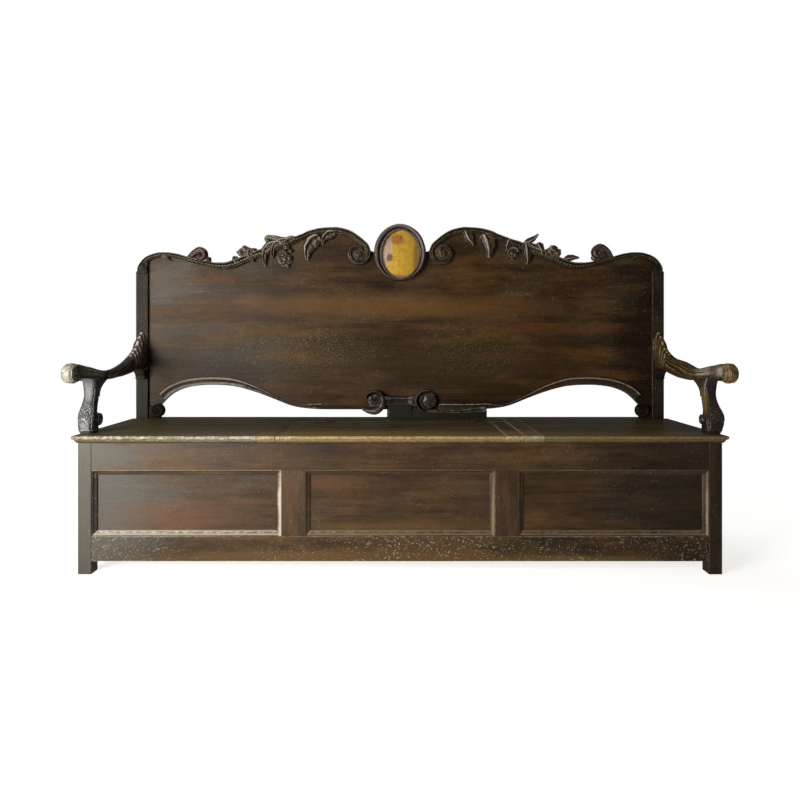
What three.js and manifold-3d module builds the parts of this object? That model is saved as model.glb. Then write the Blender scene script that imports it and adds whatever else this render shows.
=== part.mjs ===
// A carved box settle: a panelled chest with a lift-up seat, a tall shaped back and scrolled arms.
// Millimetres, +Z up, the front faces -Y, and the origin is on the floor under the middle of the bench.
import * as THREE from "three";
import { mergeVertices } from "three/addons/utils/BufferGeometryUtils.js";
import Module from "manifold-3d";

const wasm = await Module();
wasm.setup();

// Fits
const fit = 0.3; // gap left between neighbouring pieces
const overrun = 5; // how far a cutter runs past the face it opens
const weld = 1e-4; // vertices closer than this are one vertex

// Chest
const chestWidth = 2084; // outer faces of the legs and of the back posts
const seatHeight = 450;
const seatThickness = 24;
const seatDepth = 450; // front lip of the seat to the front of the back posts
const frontOverhang = 18;
const sideOverhang = 14;
const footGap = 42; // floor to the underside of the bottom rails
const bottomRailHeight = 81;
const topRailHeight = 89;
const legWidth = 42;
const legDepth = 45;
const railThickness = 28;
const railSetback = 1.5; // the rails stand this far behind the faces of the legs
const sideRailThickness = 24;
const muntinWidth = 76;
const panelThickness = 10;
const frontPanelSetback = 13; // front of a rail to the front of its panel
const sidePanelSetback = 9;
const rearPanelSetback = 4.5; // inner face of a rear rail to the panel
const panelTongue = 8; // how deep a panel's edge sits in its groove
const tenonLength = 18;
const tenonThickness = 10;
const tenonShoulder = 16;
const bearerWidth = 60;
const bearerHeight = 40;
const bearerTenon = 12;
const battenSize = 18;
const floorThickness = 12;

// Moulding round the front panels
const mouldingWidth = 17;
const mouldingReveal = 1.5; // the moulding's front edge behind the front of the rails
const mouldingShares = [ // [inward, back] the moulding's section, outer edge to panel
  [0, 1],
  [0, 0],
  [0.18, 0],
  [0.42, 0.42],
  [0.84, 0.66],
  [1, 1],
];

// Seat and lid
const lidWidth = 805;
const lidDepth = 350; // front lip to the hinge line
const lidSideGap = 1.5;
const hingeGap = 1.5;
const cleatWidth = 60;
const cleatTongue = 12;
const cleatTongueThickness = 8;
const cleatTongueStop = 30; // the tongue stops this far short of the cleat's ends
const sideBoardDepth = 215; // front board of each fixed seat
const lidFrontDepth = 175; // front board of the lid
const edgeCove = 13; // how far the seat's moulded edge runs in at its underside
const edgeShares = [ // [height, inset] the seat's moulded edge
  [0, 1],
  [0.2, 0.72],
  [0.42, 0.5],
  [0.56, 0.2],
  [0.6, 0],
  [0.93, 0],
  [1, 0.14],
];

// Hinges
const hingeLength = 66;
const hingeLeafHeight = 20;
const hingeLeafThickness = 1.6;
const hingeInset = 120; // end of the lid to the middle of a hinge
const hingeRise = 1; // pin centre above the seat
const knuckleRadius = 4;
const knuckleBore = 2.5;
const knuckleCount = 3;
const pinRadius = 2.2;
const pinStandout = 1.5; // how far the pin stands out of its knuckles
const roundSides = 12;

// Back
const postWidth = 46;
const postDepth = 50;
const postHeight = 1030;
const backSetback = 12; // front of the posts to the front of the boards
const backThickness = 22;
const backJointHeight = 826; // where the two back boards meet
const archRise = 131; // top of the arches above the seat
const centreFoot = 104; // width of the middle foot of the back
const skirtReach = 345; // the foot runs on this far to the right, under the back's flat edge
const archShares = [ // [along, up] the arched underside of the lower board, post to middle foot
  [0.047, 0.38],
  [0.066, 0.53],
  [0.099, 0.738],
  [0.152, 0.904],
  [0.219, 0.988],
  [0.29, 1],
  [0.365, 0.952],
  [0.445, 0.8],
  [0.525, 0.585],
  [0.592, 0.395],
  [0.64, 0.315],
  [0.7, 0.272],
  [0.77, 0.258],
];
const archSteps = 32;

// Crest
const crestRise = 171; // top of the crest above the posts
const crestBand = 18; // width of the crest's moulded band
const crestProud = 26; // how far the crest stands in front of the boards
const crestSteps = 44;
const crestShares = [ // [along, up] the crest's top edge, post to scroll
  [0.005, 0.055],
  [0.011, 0.13],
  [0.023, 0.216],
  [0.046, 0.333],
  [0.073, 0.403],
  [0.109, 0.437],
  [0.154, 0.437],
  [0.199, 0.392],
  [0.236, 0.333],
  [0.288, 0.263],
  [0.343, 0.216],
  [0.389, 0.207],
  [0.425, 0.24],
  [0.46, 0.31],
  [0.5, 0.398],
  [0.542, 0.48],
  [0.587, 0.561],
  [0.626, 0.643],
  [0.659, 0.702],
  [0.695, 0.755],
  [0.74, 0.84],
  [0.785, 0.933],
  [0.83, 0.982],
  [0.875, 1],
  [0.92, 0.991],
  [0.965, 0.933],
  [1.002, 0.8175],
  [1.025, 0.73],
];
const bandShares = [ // [across, forward] the band's section
  [-0.5, 0],
  [-0.5, 0.72],
  [-0.3, 0.94],
  [0, 1],
  [0.3, 0.94],
  [0.5, 0.72],
  [0.5, 0],
];
const capitalDepthShare = 0.5; // the block on a post stands this share of the crest's depth in front

// Scroll at the inner end of each crest
const scrollEyeX = 167.5; // middle of the bench to the scroll's eye
const scrollEyeDrop = 100; // top of the crest to the eye
const scrollRadius = 46; // the band's middle line to the eye, where the scroll starts
const scrollEyeRadius = 12;
const scrollStart = 60; // degrees
const scrollTurn = 470; // degrees
const scrollSteps = 22;
const scrollEndShare = 0.24; // last radius of the scroll, of its first
const scrollTaperShare = 0.45; // last width of the band, of its first
const scrollBackShares = [ // [inward, up] the board behind a scroll, in scroll radii from its eye
  [0, 1],
  [0.9, 0.35],
];

// Curls and leaves on the crest
const curlShares = [ // [along, up, radius] radii in widths of the band
  [0.298, 0.4, 1.2],
  [0.492, 0.5, 0.85],
  [0.607, 0.67, 0.95],
  [0.695, 0.33, 1.4],
];
const curlDepthShare = 0.9; // of the crest's depth
const leafShares = [ // [root along, root up, tip along, tip up, width] widths in widths of the band
  [0.245, 0.36, 0.3, 0.27, 1.0],
  [0.52, 0.45, 0.487, 0.215, 1.3],
  [0.66, 0.66, 0.63, 0.17, 1.4],
  [0.68, 0.7, 0.69, 0.34, 1.2],
  [0.84, 0.9, 0.763, 0.275, 2.1],
  [0.888, 0.93, 0.83, 0.585, 1.5],
  [0.63, 0.66, 0.597, 0.8, 1.1],
];
const leafWidthShares = [0.5, 0.82, 1, 0.95, 0.74, 0.42, 0.08]; // root to tip
const leafBowShare = 0.18; // how far a leaf bows sideways, of its length
const leafDepthShare = 0.72; // of the crest's depth
const leafSectionShares = [ // [across, forward]
  [-0.5, 0],
  [-0.5, 0.5],
  [-0.1, 1],
  [0.5, 0.4],
  [0.5, 0],
];

// Medallion
const medallionWidth = 208;
const medallionHeight = 225;
const medallionDrop = 96; // top of the crest to the medallion's centre
const medallionSides = 40;
const rimWidth = 31;
const rimProud = 34; // front of the ring from its back
const rimLip = 4; // the ring laps this far over the plate
const plateThickness = 8;
const plateDome = 7;
const plateBoardGap = 10; // the board behind the ring stops this far inside its edge
const rimShares = [ // [inward, forward] the ring's section, outer edge to lip
  [0, 0],
  [0, 0.55],
  [0.14, 0.88],
  [0.36, 1],
  [0.58, 0.88],
  [0.66, 0.7],
  [1, 0.58],
];
const domeShares = [ // [radius, rise] the plate's front
  [0.8, 0.45],
  [0.45, 0.85],
  [0, 1],
];

// Arch mouldings and base scroll
const archBandWidth = 30;
const archBandProud = 11;
const archBandShares = [ // [across from the edge, forward]
  [0.04, 0],
  [0.04, 0.3],
  [0.5, 0.4],
  [0.72, 0.62],
  [0.82, 1],
  [0.95, 1],
  [1, 0.66],
  [1, 0],
];
const cornerScrollRadius = 27;
const cornerScrollRise = 31; // centre of a corner scroll above the seat
const cornerScrollOut = 4; // end of the arch to the scroll's centre
const cornerScrollProud = 20;
const baseScrollRadius = 45;
const baseScrollSpread = 202; // between the two eyes
const baseScrollRise = 71; // eyes above the seat
const baseScrollProud = 36;
const baseScrollHollow = 9; // depth of the hollow round each eye
const baseScrollRim = 8;
const baseScrollEye = 17;
const baseBarHeight = 31;
const baseBarProud = 24;
const apronProud = 12; // the apron between the base scroll and the seat, in front of the boards
const footProud = 5; // the feet of the back, in front of the boards
const scrollSides = 20;

// Arms
const armHeight = 199; // middle of the hand above the seat
const armReach = 406; // front of the posts to the middle of the hand
const armInset = 22; // outer face of a post to the middle of its arm
const handOverhang = 35; // the middle of the hand outside that face
const handRadius = 34;
const handWidth = 42;
const armTenonDepth = 16;
const armTenonWidth = 12;
const armTenonHeight = 60;
const armTenonDrop = 20; // bottom of the tenon below the top of the hand
const armShares = [ // [reach, top, bottom, half width, outward] heights and widths in hand radii
  [0, 4.06, -0.24, 0.65, 0],
  [0.075, 3.3, -0.24, 0.65, -0.02],
  [0.14, 2.35, -0.22, 0.65, -0.045],
  [0.26, 1.53, -0.41, 0.65, -0.075],
  [0.377, 0.94, -0.59, 0.63, -0.11],
  [0.5, 0.55, -0.7, 0.61, -0.15],
  [0.6, 0.32, -0.76, 0.6, -0.18],
  [0.74, 0.18, -0.82, 0.6, -0.225],
  [0.855, 0.24, -0.82, 0.62, -0.2],
  [0.92, 0.5, -0.74, 0.7, 0.3],
  [0.97, 0.82, -0.5, 0.64, 0.78],
  [1, 0.98, -0.2, 0.62, 1],
];
const cornerShare = 0.45; // rounding of the sections of arms and supports, of the half size

// Arm supports
const supportInset = 9; // outer face of a leg to the middle of the support's foot
const supportSetback = 73; // front lip of the seat to the middle of the foot
const supportSize = 50; // width of the support at its swelling
const supportHeight = 156;
const supportTenonDepth = 12; // how far the support's tenon goes into the leg
const supportTenonSize = 13;
const supportTenonInset = 3.25; // tenon from the middle of the foot
const supportScrollRadius = 20;
const supportScrollWidth = 40;
const supportScrollRise = 43; // centre of the foot's scroll above the seat
const supportScrollBack = 19; // and behind the middle of the foot
const pegLength = 14; // the peg between support and arm
const padMargin = 1.5; // the arm's pad beyond the top of the support
const supportShares = [ // [height, outward, half width, backward, half depth] in support sizes
  [0, 0, 0.45, 0, 0.54],
  [0.05, 0, 0.49, 0, 0.57],
  [0.18, 0.01, 0.51, 0.01, 0.58],
  [0.32, 0, 0.51, -0.08, 0.52],
  [0.44, -0.03, 0.46, -0.24, 0.44],
  [0.56, -0.05, 0.41, -0.38, 0.38],
  [0.72, -0.14, 0.37, -0.52, 0.34],
  [0.86, -0.2, 0.35, -0.5, 0.35],
  [1, -0.22, 0.36, -0.34, 0.42],
];

// Finishes
const walnut = finish(0x3b2a1d, 0.5);
const wornWalnut = finish(0x4a3624, 0.45);
const paleWood = finish(0x6b5540, 0.75);
const gilt = finish(0xb8922e, 0.45, 0.3);
const iron = finish(0x2b2826, 0.6, 0.9);

// Places worked out from the sizes above
const halfWidth = chestWidth / 2;
const seatHalf = halfWidth + sideOverhang;
const rearFace = (seatDepth + postDepth) / 2;
const frontLip = -rearFace;
const postFront = rearFace - postDepth;
const chestFront = frontLip + frontOverhang;
const chestTop = seatHeight - seatThickness;
const legBack = chestFront + legDepth;
const legInner = halfWidth - legWidth;
const postInner = halfWidth - postWidth;
const railFront = chestFront + railSetback;
const railBack = railFront + railThickness;
const rearRailBack = rearFace - railSetback;
const rearRailFront = rearRailBack - sideRailThickness;
const sideRailOuter = halfWidth - railSetback;
const sideRailInner = sideRailOuter - sideRailThickness;
const bottomRail = [footGap, footGap + bottomRailHeight];
const topRail = [chestTop - topRailHeight, chestTop - fit];
const opening = [bottomRail[1], topRail[0]];
const bayWidth = (legInner * 2 - muntinWidth * 2) / 3;
const muntinX = [-(bayWidth / 2 + muntinWidth), -bayWidth / 2];
const lidHalf = lidWidth / 2;
const hingeLine = frontLip + lidDepth;
const hingeX = -lidHalf + hingeInset;
const pinHeight = seatHeight + hingeRise;
const backFront = postFront + backSetback;
const backRear = backFront + backThickness;
const appliedBack = backFront - fit;
const crestTop = postHeight + crestRise;
const scrollEyeZ = crestTop - scrollEyeDrop;
const crestSpan = halfWidth - scrollEyeX;
const archSpan = postInner - centreFoot / 2;
const medallionZ = crestTop - medallionDrop;
const armX = halfWidth - armInset;
const handX = halfWidth + handOverhang;
const handY = postFront - armReach;
const handZ = seatHeight + armHeight;
const supportX = halfWidth - supportInset;
const footY = frontLip + supportSetback;
const supportTop = seatHeight + supportHeight;

const settle = new THREE.Group();

function finish(color, roughness, metalness = 0) {
  return new THREE.MeshStandardMaterial({ color, roughness, metalness });
}

// Solids

// A closed geometry as a solid that can be joined and cut, with its faces pointing out.
function solid(geometry) {
  const bare = geometry.index ? geometry.toNonIndexed() : geometry.clone();
  bare.deleteAttribute("normal");
  bare.deleteAttribute("uv");
  const merged = mergeVertices(bare, weld);
  const vertProperties = merged.attributes.position.array;
  const triVerts = new Uint32Array(merged.index.array);
  const made = new wasm.Manifold(new wasm.Mesh({ numProp: 3, vertProperties, triVerts }));
  if (made.volume() > 0) {
    return made;
  }
  for (let i = 0; i < triVerts.length; i += 3) {
    [triVerts[i + 1], triVerts[i + 2]] = [triVerts[i + 2], triVerts[i + 1]];
  }
  return new wasm.Manifold(new wasm.Mesh({ numProp: 3, vertProperties, triVerts }));
}

// A solid as a flat-shaded three.js geometry.
function geometryOf(made) {
  const mesh = made.getMesh();
  const geometry = new THREE.BufferGeometry();
  geometry.setAttribute("position", new THREE.BufferAttribute(mesh.vertProperties, mesh.numProp));
  geometry.setIndex(new THREE.BufferAttribute(mesh.triVerts, 1));
  const flat = geometry.toNonIndexed();
  flat.computeVertexNormals();
  return flat;
}

// A geometry from points and the triangles over them.
function meshed(points, index) {
  const positions = points.flatMap((p) => [p.x, p.y, p.z]);
  const geometry = new THREE.BufferGeometry();
  geometry.setAttribute("position", new THREE.Float32BufferAttribute(positions, 3));
  geometry.setIndex(index);
  return geometry;
}

// Ranges are written [[x0, x1], [y0, y1], [z0, z1]].
function grown(range, by) {
  return range.map(([low, high]) => [low - by, high + by]);
}

function mirrored([[x0, x1], y, z]) {
  return [[-x1, -x0], y, z];
}

function block(range) {
  const size = range.map(([low, high]) => high - low);
  const middle = range.map(([low, high]) => (low + high) / 2);
  return solid(new THREE.BoxGeometry(...size).translate(...middle));
}

function joined(...solids) {
  return solids.reduce((whole, next) => whole.add(next));
}

function cut(made, ...cutters) {
  return cutters.reduce((whole, next) => whole.subtract(next), made);
}

// The sockets for a list of tenons, a fit wider all round.
function sockets(tenons) {
  return tenons.map((range) => block(grown(range, fit)));
}

// The range of this size in the middle of the range from low to high.
function centred([low, high], size) {
  const middle = (low + high) / 2;
  return [middle - size / 2, middle + size / 2];
}

// The triangles that fill a convex ring of points.
function fan(count) {
  return Array.from({ length: count - 2 }, (_, i) => [0, i + 1, i + 2]);
}

// The triangles between each ring of points and the next, for rings of the same count.
function skin(ringCount, count) {
  const index = [];
  for (let r = 0; r + 1 < ringCount; r++) {
    for (let i = 0; i < count; i++) {
      const a = r * count + i;
      const b = r * count + ((i + 1) % count);
      index.push(a, b, b + count, a, b + count, a + count);
    }
  }
  return index;
}

// A closed skin over rings of points that go the same way round, with the same triangles at both ends.
function loft(rings, cap = fan(rings[0].length)) {
  const count = rings[0].length;
  const index = skin(rings.length, count);
  const last = (rings.length - 1) * count;
  for (const [a, b, c] of cap) {
    index.push(a, c, b, last + a, last + b, last + c);
  }
  return solid(meshed(rings.flat(), index));
}

// An outline in x and z, carried from one depth to another.
function plate(points, near, far) {
  const shape = new THREE.Shape(points.map(([x, z]) => new THREE.Vector2(x, z)));
  const geometry = new THREE.ExtrudeGeometry(shape, { depth: far - near, bevelEnabled: false });
  return solid(geometry.rotateX(Math.PI / 2).translate(0, far, 0));
}

// A round piece along x: its radius, the x range that it spans, and its centre in y and z.
function rod(radius, [from, to], y, z, sides = roundSides) {
  const geometry = new THREE.CylinderGeometry(radius, radius, to - from, sides);
  return solid(geometry.rotateZ(Math.PI / 2).translate((from + to) / 2, y, z));
}

// A round piece along y: its radius, the y range that it spans, and its centre in x and z.
function boss(radius, [from, to], x, z, sides = roundSides) {
  const geometry = new THREE.CylinderGeometry(radius, radius, to - from, sides);
  return solid(geometry.translate(x, (from + to) / 2, z));
}

// A smooth line through [x, z] points, at even steps.
function smooth(points, steps) {
  const curve = new THREE.SplineCurve(points.map(([x, z]) => new THREE.Vector2(x, z)));
  return curve.getSpacedPoints(steps).map((p) => [p.x, p.y]);
}

// Unit vectors across a line of [x, z] points, on its left-hand side.
function normals(line) {
  return line.map((_, i) => {
    const [x0, z0] = line[Math.max(i - 1, 0)];
    const [x1, z1] = line[Math.min(i + 1, line.length - 1)];
    const length = Math.hypot(x1 - x0, z1 - z0);
    return [-(z1 - z0) / length, (x1 - x0) / length];
  });
}

// A moulding along a line of [x, z] points. The section's first share runs across the line, in widths of
// the moulding at each point, and its second runs forward from the depth `back`, as a share of `proud`.
function ribbon(line, widths, section, back, proud) {
  const across = normals(line);
  const rings = line.map(([x, z], i) =>
    section.map(([over, forward]) => {
      const reach = over * widths[i];
      const y = back - forward * proud;
      return new THREE.Vector3(x + across[i][0] * reach, y, z + across[i][1] * reach);
    }),
  );
  const outline = section.map((point) => new THREE.Vector2(...point));
  const cap = THREE.ShapeUtils.triangulateShape(outline, []);
  return loft(rings, THREE.ShapeUtils.isClockWise(outline) ? cap.map(([a, b, c]) => [a, c, b]) : cap);
}

// A section with cut corners, as [across, up] pairs.
function chamfered(halfAcross, halfUp) {
  const innerAcross = halfAcross * (1 - cornerShare);
  const innerUp = halfUp * (1 - cornerShare);
  return [
    [halfAcross, innerUp],
    [innerAcross, halfUp],
    [-innerAcross, halfUp],
    [-halfAcross, innerUp],
    [-halfAcross, -innerUp],
    [-innerAcross, -halfUp],
    [innerAcross, -halfUp],
    [halfAcross, -innerUp],
  ];
}

function add(name, made, material) {
  const mesh = new THREE.Mesh(geometryOf(made), material);
  mesh.name = name;
  settle.add(mesh);
}

// A piece modelled on the left, and its mirror image on the right.
function addPair(name, made, material) {
  const geometry = geometryOf(made);
  for (const [side, scale] of [["left", 1], ["right", -1]]) {
    const mesh = new THREE.Mesh(geometry, material);
    mesh.name = `${name}_${side}`;
    mesh.scale.x = scale;
    settle.add(mesh);
  }
}

// Joinery that the frames share

const frontPanelY = [railFront + frontPanelSetback, railFront + frontPanelSetback + panelThickness];
const rearPanelY = [rearRailFront + rearPanelSetback, rearRailFront + rearPanelSetback + panelThickness];
const sidePanelX = [-sideRailOuter + sidePanelSetback, -sideRailOuter + sidePanelSetback + panelThickness];
const grooveZ = [opening[0] - panelTongue, opening[1] + panelTongue];
const panelZ = [grooveZ[0] + fit, grooveZ[1] - fit];
const lowGroove = [opening[0] - panelTongue - fit, opening[0] + overrun];
const highGroove = [opening[1] - overrun, opening[1] + panelTongue + fit];

// The height of a rail's tenon, between its shoulders.
function tenonZ([low, high]) {
  return [low + tenonShoulder, high - tenonShoulder];
}

// The tenons at the two ends of a rail that runs along x between the faces at -reach and reach.
function crossTenons(reach, y, z) {
  const left = [[-reach - tenonLength, -reach + overrun], centred(y, tenonThickness), tenonZ(z)];
  return [left, mirrored(left)];
}

// The tenons of a left side rail, which runs along y from the leg to the post.
function sideTenons(z) {
  const x = centred([-sideRailOuter, -sideRailInner], tenonThickness);
  return [
    [x, [legBack - tenonLength, legBack + overrun], tenonZ(z)],
    [x, [postFront - overrun, postFront + tenonLength], tenonZ(z)],
  ];
}

const frontRailY = [railFront, railBack];
const frontTenons = [bottomRail, topRail].map((z) => crossTenons(legInner, frontRailY, z));
const rearRailY = [rearRailFront, rearRailBack];
const rearTenons = [bottomRail, topRail].map((z) => crossTenons(postInner, rearRailY, z));
const leftTenons = [bottomRail, topRail].map(sideTenons);

const bearerX = [-lidHalf - bearerWidth / 2, -lidHalf + bearerWidth / 2];
const bearerZ = [chestTop - bearerHeight, chestTop - fit];
const bearerTenons = [
  [railBack - bearerTenon, railBack + overrun],
  [rearRailFront - overrun, rearRailFront + bearerTenon],
].map((y) => [
  [bearerX[0] + tenonShoulder, bearerX[1] - tenonShoulder],
  y,
  [bearerZ[0], bearerZ[0] + tenonThickness],
]);

const supportTenon = [
  [-supportX + supportTenonInset, -supportX + supportTenonInset + supportTenonSize],
  [footY - supportSize / 2, footY - supportSize / 2 + supportTenonSize],
  [chestTop - supportTenonDepth, seatHeight + overrun],
];
const armTenon = [
  [-armX - armTenonWidth / 2, -armX + armTenonWidth / 2],
  [postFront - overrun, postFront + armTenonDepth],
  [handZ + handRadius - armTenonDrop, handZ + handRadius - armTenonDrop + armTenonHeight],
];

// Chest

function frontLeg() {
  const frontGroove = block([
    [-legInner - panelTongue - fit, -legInner + overrun],
    [frontPanelY[0] - fit, frontPanelY[1] + fit],
    grooveZ,
  ]);
  const sideGroove = block([
    [sidePanelX[0] - fit, sidePanelX[1] + fit],
    [legBack - panelTongue - fit, legBack + overrun],
    grooveZ,
  ]);
  const body = block([[-halfWidth, -legInner], [chestFront, legBack], [0, chestTop - fit]]);
  const tenons = [...frontTenons.flat(), ...leftTenons.flat(), supportTenon];
  return cut(body, frontGroove, sideGroove, ...sockets(tenons));
}

function rearPost() {
  const rearGroove = block([
    [-postInner - panelTongue - fit, -postInner + overrun],
    [rearPanelY[0] - fit, rearPanelY[1] + fit],
    grooveZ,
  ]);
  const sideGroove = block([
    [sidePanelX[0] - fit, sidePanelX[1] + fit],
    [postFront - overrun, postFront + panelTongue + fit],
    grooveZ,
  ]);
  const backGroove = block([
    [-postInner - panelTongue - fit, -postInner + overrun],
    [backFront - fit, backRear + fit],
    [seatHeight, postHeight + overrun],
  ]);
  const body = block([[-halfWidth, -postInner], [postFront, rearFace], [0, postHeight]]);
  const tenons = [...rearTenons.flat(), ...leftTenons.flat(), armTenon];
  return cut(body, rearGroove, sideGroove, backGroove, ...sockets(tenons));
}

// A rail along x, with a groove for the panels along one edge and a tenon at each end.
function crossRail(reach, y, z, panelY, groove, tenons) {
  const body = block([[-reach + fit, reach - fit], y, z]);
  const channel = block([[-reach - overrun, reach + overrun], [panelY[0] - fit, panelY[1] + fit], groove]);
  return joined(cut(body, channel), ...tenons.map(block));
}

function sideRail(z, groove, tenons) {
  const y = [legBack + fit, postFront - fit];
  const body = block([[-sideRailOuter, -sideRailInner], y, z]);
  const grooveX = [sidePanelX[0] - fit, sidePanelX[1] + fit];
  const channel = block([grooveX, [y[0] - overrun, y[1] + overrun], groove]);
  return joined(cut(body, channel), ...tenons.map(block));
}

function muntin() {
  const body = block([muntinX, [railFront, railBack], [opening[0] + fit, opening[1] - fit]]);
  const tenon = block([[muntinX[0] + tenonShoulder, muntinX[1] - tenonShoulder], frontPanelY, panelZ]);
  const channels = [
    [muntinX[0] - overrun, muntinX[0] + panelTongue + fit],
    [muntinX[1] - panelTongue - fit, muntinX[1] + overrun],
  ].map((x) => block([x, [frontPanelY[0] - fit, frontPanelY[1] + fit], [lowGroove[0], highGroove[1]]]));
  return joined(cut(body, ...channels), tenon);
}

// A mitred frame of moulding that fills the corner between the rails and a panel.
function panelMoulding([x0, x1]) {
  const middle = [(x0 + x1) / 2, (opening[0] + opening[1]) / 2];
  const half = [(x1 - x0) / 2 - fit, (opening[1] - opening[0]) / 2 - fit];
  const front = railFront + mouldingReveal;
  const depth = frontPanelY[0] - fit - front;
  const corners = [[-1, -1], [1, -1], [1, 1], [-1, 1], [-1, -1]];
  const rings = corners.map(([sideX, sideZ]) =>
    mouldingShares.map(([inward, backward]) => {
      const inset = inward * mouldingWidth;
      const x = middle[0] + sideX * (half[0] - inset);
      return new THREE.Vector3(x, front + backward * depth, middle[1] + sideZ * (half[1] - inset));
    }),
  );
  return solid(meshed(rings.flat(), skin(rings.length, mouldingShares.length)));
}

function buildFrontPanels() {
  const bays = {
    left: [-legInner, muntinX[0]],
    centre: [muntinX[1], -muntinX[1]],
    right: [-muntinX[0], legInner],
  };
  for (const [side, bay] of Object.entries(bays)) {
    const x = [bay[0] - panelTongue + fit, bay[1] + panelTongue - fit];
    add(`front_panel_${side}`, block([x, frontPanelY, panelZ]), walnut);
    add(`panel_moulding_${side}`, panelMoulding(bay), wornWalnut);
  }
}

function buildChest() {
  addPair("front_leg", frontLeg(), walnut);
  addPair("rear_post", rearPost(), walnut);
  const bearerSockets = sockets([...bearerTenons, ...bearerTenons.map(mirrored)]);
  const frontLow = crossRail(legInner, frontRailY, bottomRail, frontPanelY, lowGroove, frontTenons[0]);
  const frontHigh = crossRail(legInner, frontRailY, topRail, frontPanelY, highGroove, frontTenons[1]);
  add("front_bottom_rail", frontLow, wornWalnut);
  add("front_top_rail", cut(frontHigh, ...bearerSockets), walnut);
  addPair("front_muntin", muntin(), walnut);
  buildFrontPanels();
  addPair("side_bottom_rail", sideRail(bottomRail, lowGroove, leftTenons[0]), walnut);
  addPair("side_top_rail", sideRail(topRail, highGroove, leftTenons[1]), walnut);
  const sideY = [legBack - panelTongue + fit, postFront + panelTongue - fit];
  addPair("side_panel", block([sidePanelX, sideY, panelZ]), walnut);
  const rearLow = crossRail(postInner, rearRailY, bottomRail, rearPanelY, lowGroove, rearTenons[0]);
  const rearHigh = crossRail(postInner, rearRailY, topRail, rearPanelY, highGroove, rearTenons[1]);
  add("rear_bottom_rail", rearLow, paleWood);
  add("rear_top_rail", cut(rearHigh, ...bearerSockets), paleWood);
  const rearReach = postInner + panelTongue - fit;
  add("rear_panel", block([[-rearReach, rearReach], rearPanelY, panelZ]), paleWood);
  const bearer = block([bearerX, [railBack + fit, rearRailFront - fit], bearerZ]);
  addPair("seat_bearer", joined(bearer, ...bearerTenons.map(block)), paleWood);
}

function buildFloor() {
  const reach = Math.min(legInner, postInner) - fit;
  const x = [-reach, reach];
  const front = railBack + fit;
  const rear = rearRailFront - fit;
  const battenZ = [footGap, footGap + battenSize];
  add("floor_batten_front", block([x, [front, front + battenSize], battenZ]), paleWood);
  add("floor_batten_rear", block([x, [rear - battenSize, rear], battenZ]), paleWood);
  const boardZ = [battenZ[1] + fit, battenZ[1] + fit + floorThickness];
  add("floor_board", block([x, [front, rear], boardZ]), paleWood);
}

// Seat

const tongueZ = centred([chestTop, seatHeight], cleatTongueThickness);
const fixedCleat = [-lidHalf - cleatWidth, -lidHalf - fit / 2];
const fixedTongue = [frontLip + cleatTongueStop, rearFace - cleatTongueStop];
const lidRear = hingeLine - hingeGap / 2;
const lidCleat = [-lidHalf + lidSideGap, -lidHalf + lidSideGap + cleatWidth];
const lidTongue = [frontLip + cleatTongueStop, lidRear - cleatTongueStop];

// A board with the seat's moulded edge along its front, its left end, both or neither.
function seatBoard([x0, x1], [y0, y1], { front = false, end = false } = {}) {
  const rings = edgeShares.map(([height, inset]) => {
    const z = chestTop + height * seatThickness;
    const left = x0 + (end ? inset * edgeCove : 0);
    const near = y0 + (front ? inset * edgeCove : 0);
    return [[left, near], [x1, near], [x1, y1], [left, y1]].map(([x, y]) => new THREE.Vector3(x, y, z));
  });
  return loft(rings);
}

// The tongue on the end of the board that spans y, as far as its cleat's groove runs.
function endTongue(x, [y0, y1], [low, high]) {
  return [x, [Math.max(y0, low), Math.min(y1, high)], tongueZ];
}

function buildFixedSeats() {
  const x = [-seatHalf, fixedCleat[0] - fit];
  const tongueX = [x[1] - overrun, fixedCleat[0] + cleatTongue];
  const joint = frontLip + sideBoardDepth;
  const frontY = [frontLip, joint - fit / 2];
  const rearY = [joint + fit / 2, rearFace];
  const frontBoard = seatBoard(x, frontY, { front: true, end: true });
  const frontWhole = joined(frontBoard, block(endTongue(tongueX, frontY, fixedTongue)));
  addPair("seat_board_front", cut(frontWhole, ...sockets([supportTenon])), wornWalnut);
  const postNotch = [
    [-seatHalf - overrun, -postInner],
    [postFront, rearFace + overrun],
    [chestTop - overrun, seatHeight + overrun],
  ];
  const rearBoard = seatBoard(x, rearY, { end: true });
  const rearWhole = joined(rearBoard, block(endTongue(tongueX, rearY, fixedTongue)));
  addPair("seat_board_rear", cut(rearWhole, ...sockets([postNotch])), wornWalnut);
  const groove = [[fixedCleat[0] - overrun, fixedCleat[0] + cleatTongue], fixedTongue, tongueZ];
  const cleat = seatBoard(fixedCleat, [frontLip, rearFace], { front: true });
  addPair("seat_cleat", cut(cleat, ...sockets([groove])), wornWalnut);
}

// The room that a hinge takes out of the wood on both sides of the hinge line.
function hingeRecess(x) {
  const half = hingeLength / 2 + pinStandout;
  const leaf = hingeLeafThickness + fit;
  const knuckle = knuckleRadius + fit;
  const top = seatHeight + overrun;
  return sockets([
    [[x - half, x + half], [hingeLine - leaf, hingeLine + leaf], [seatHeight - hingeLeafHeight, top]],
    [[x - half, x + half], [hingeLine - knuckle, hingeLine + knuckle], [pinHeight - knuckle, top]],
  ]);
}

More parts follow.
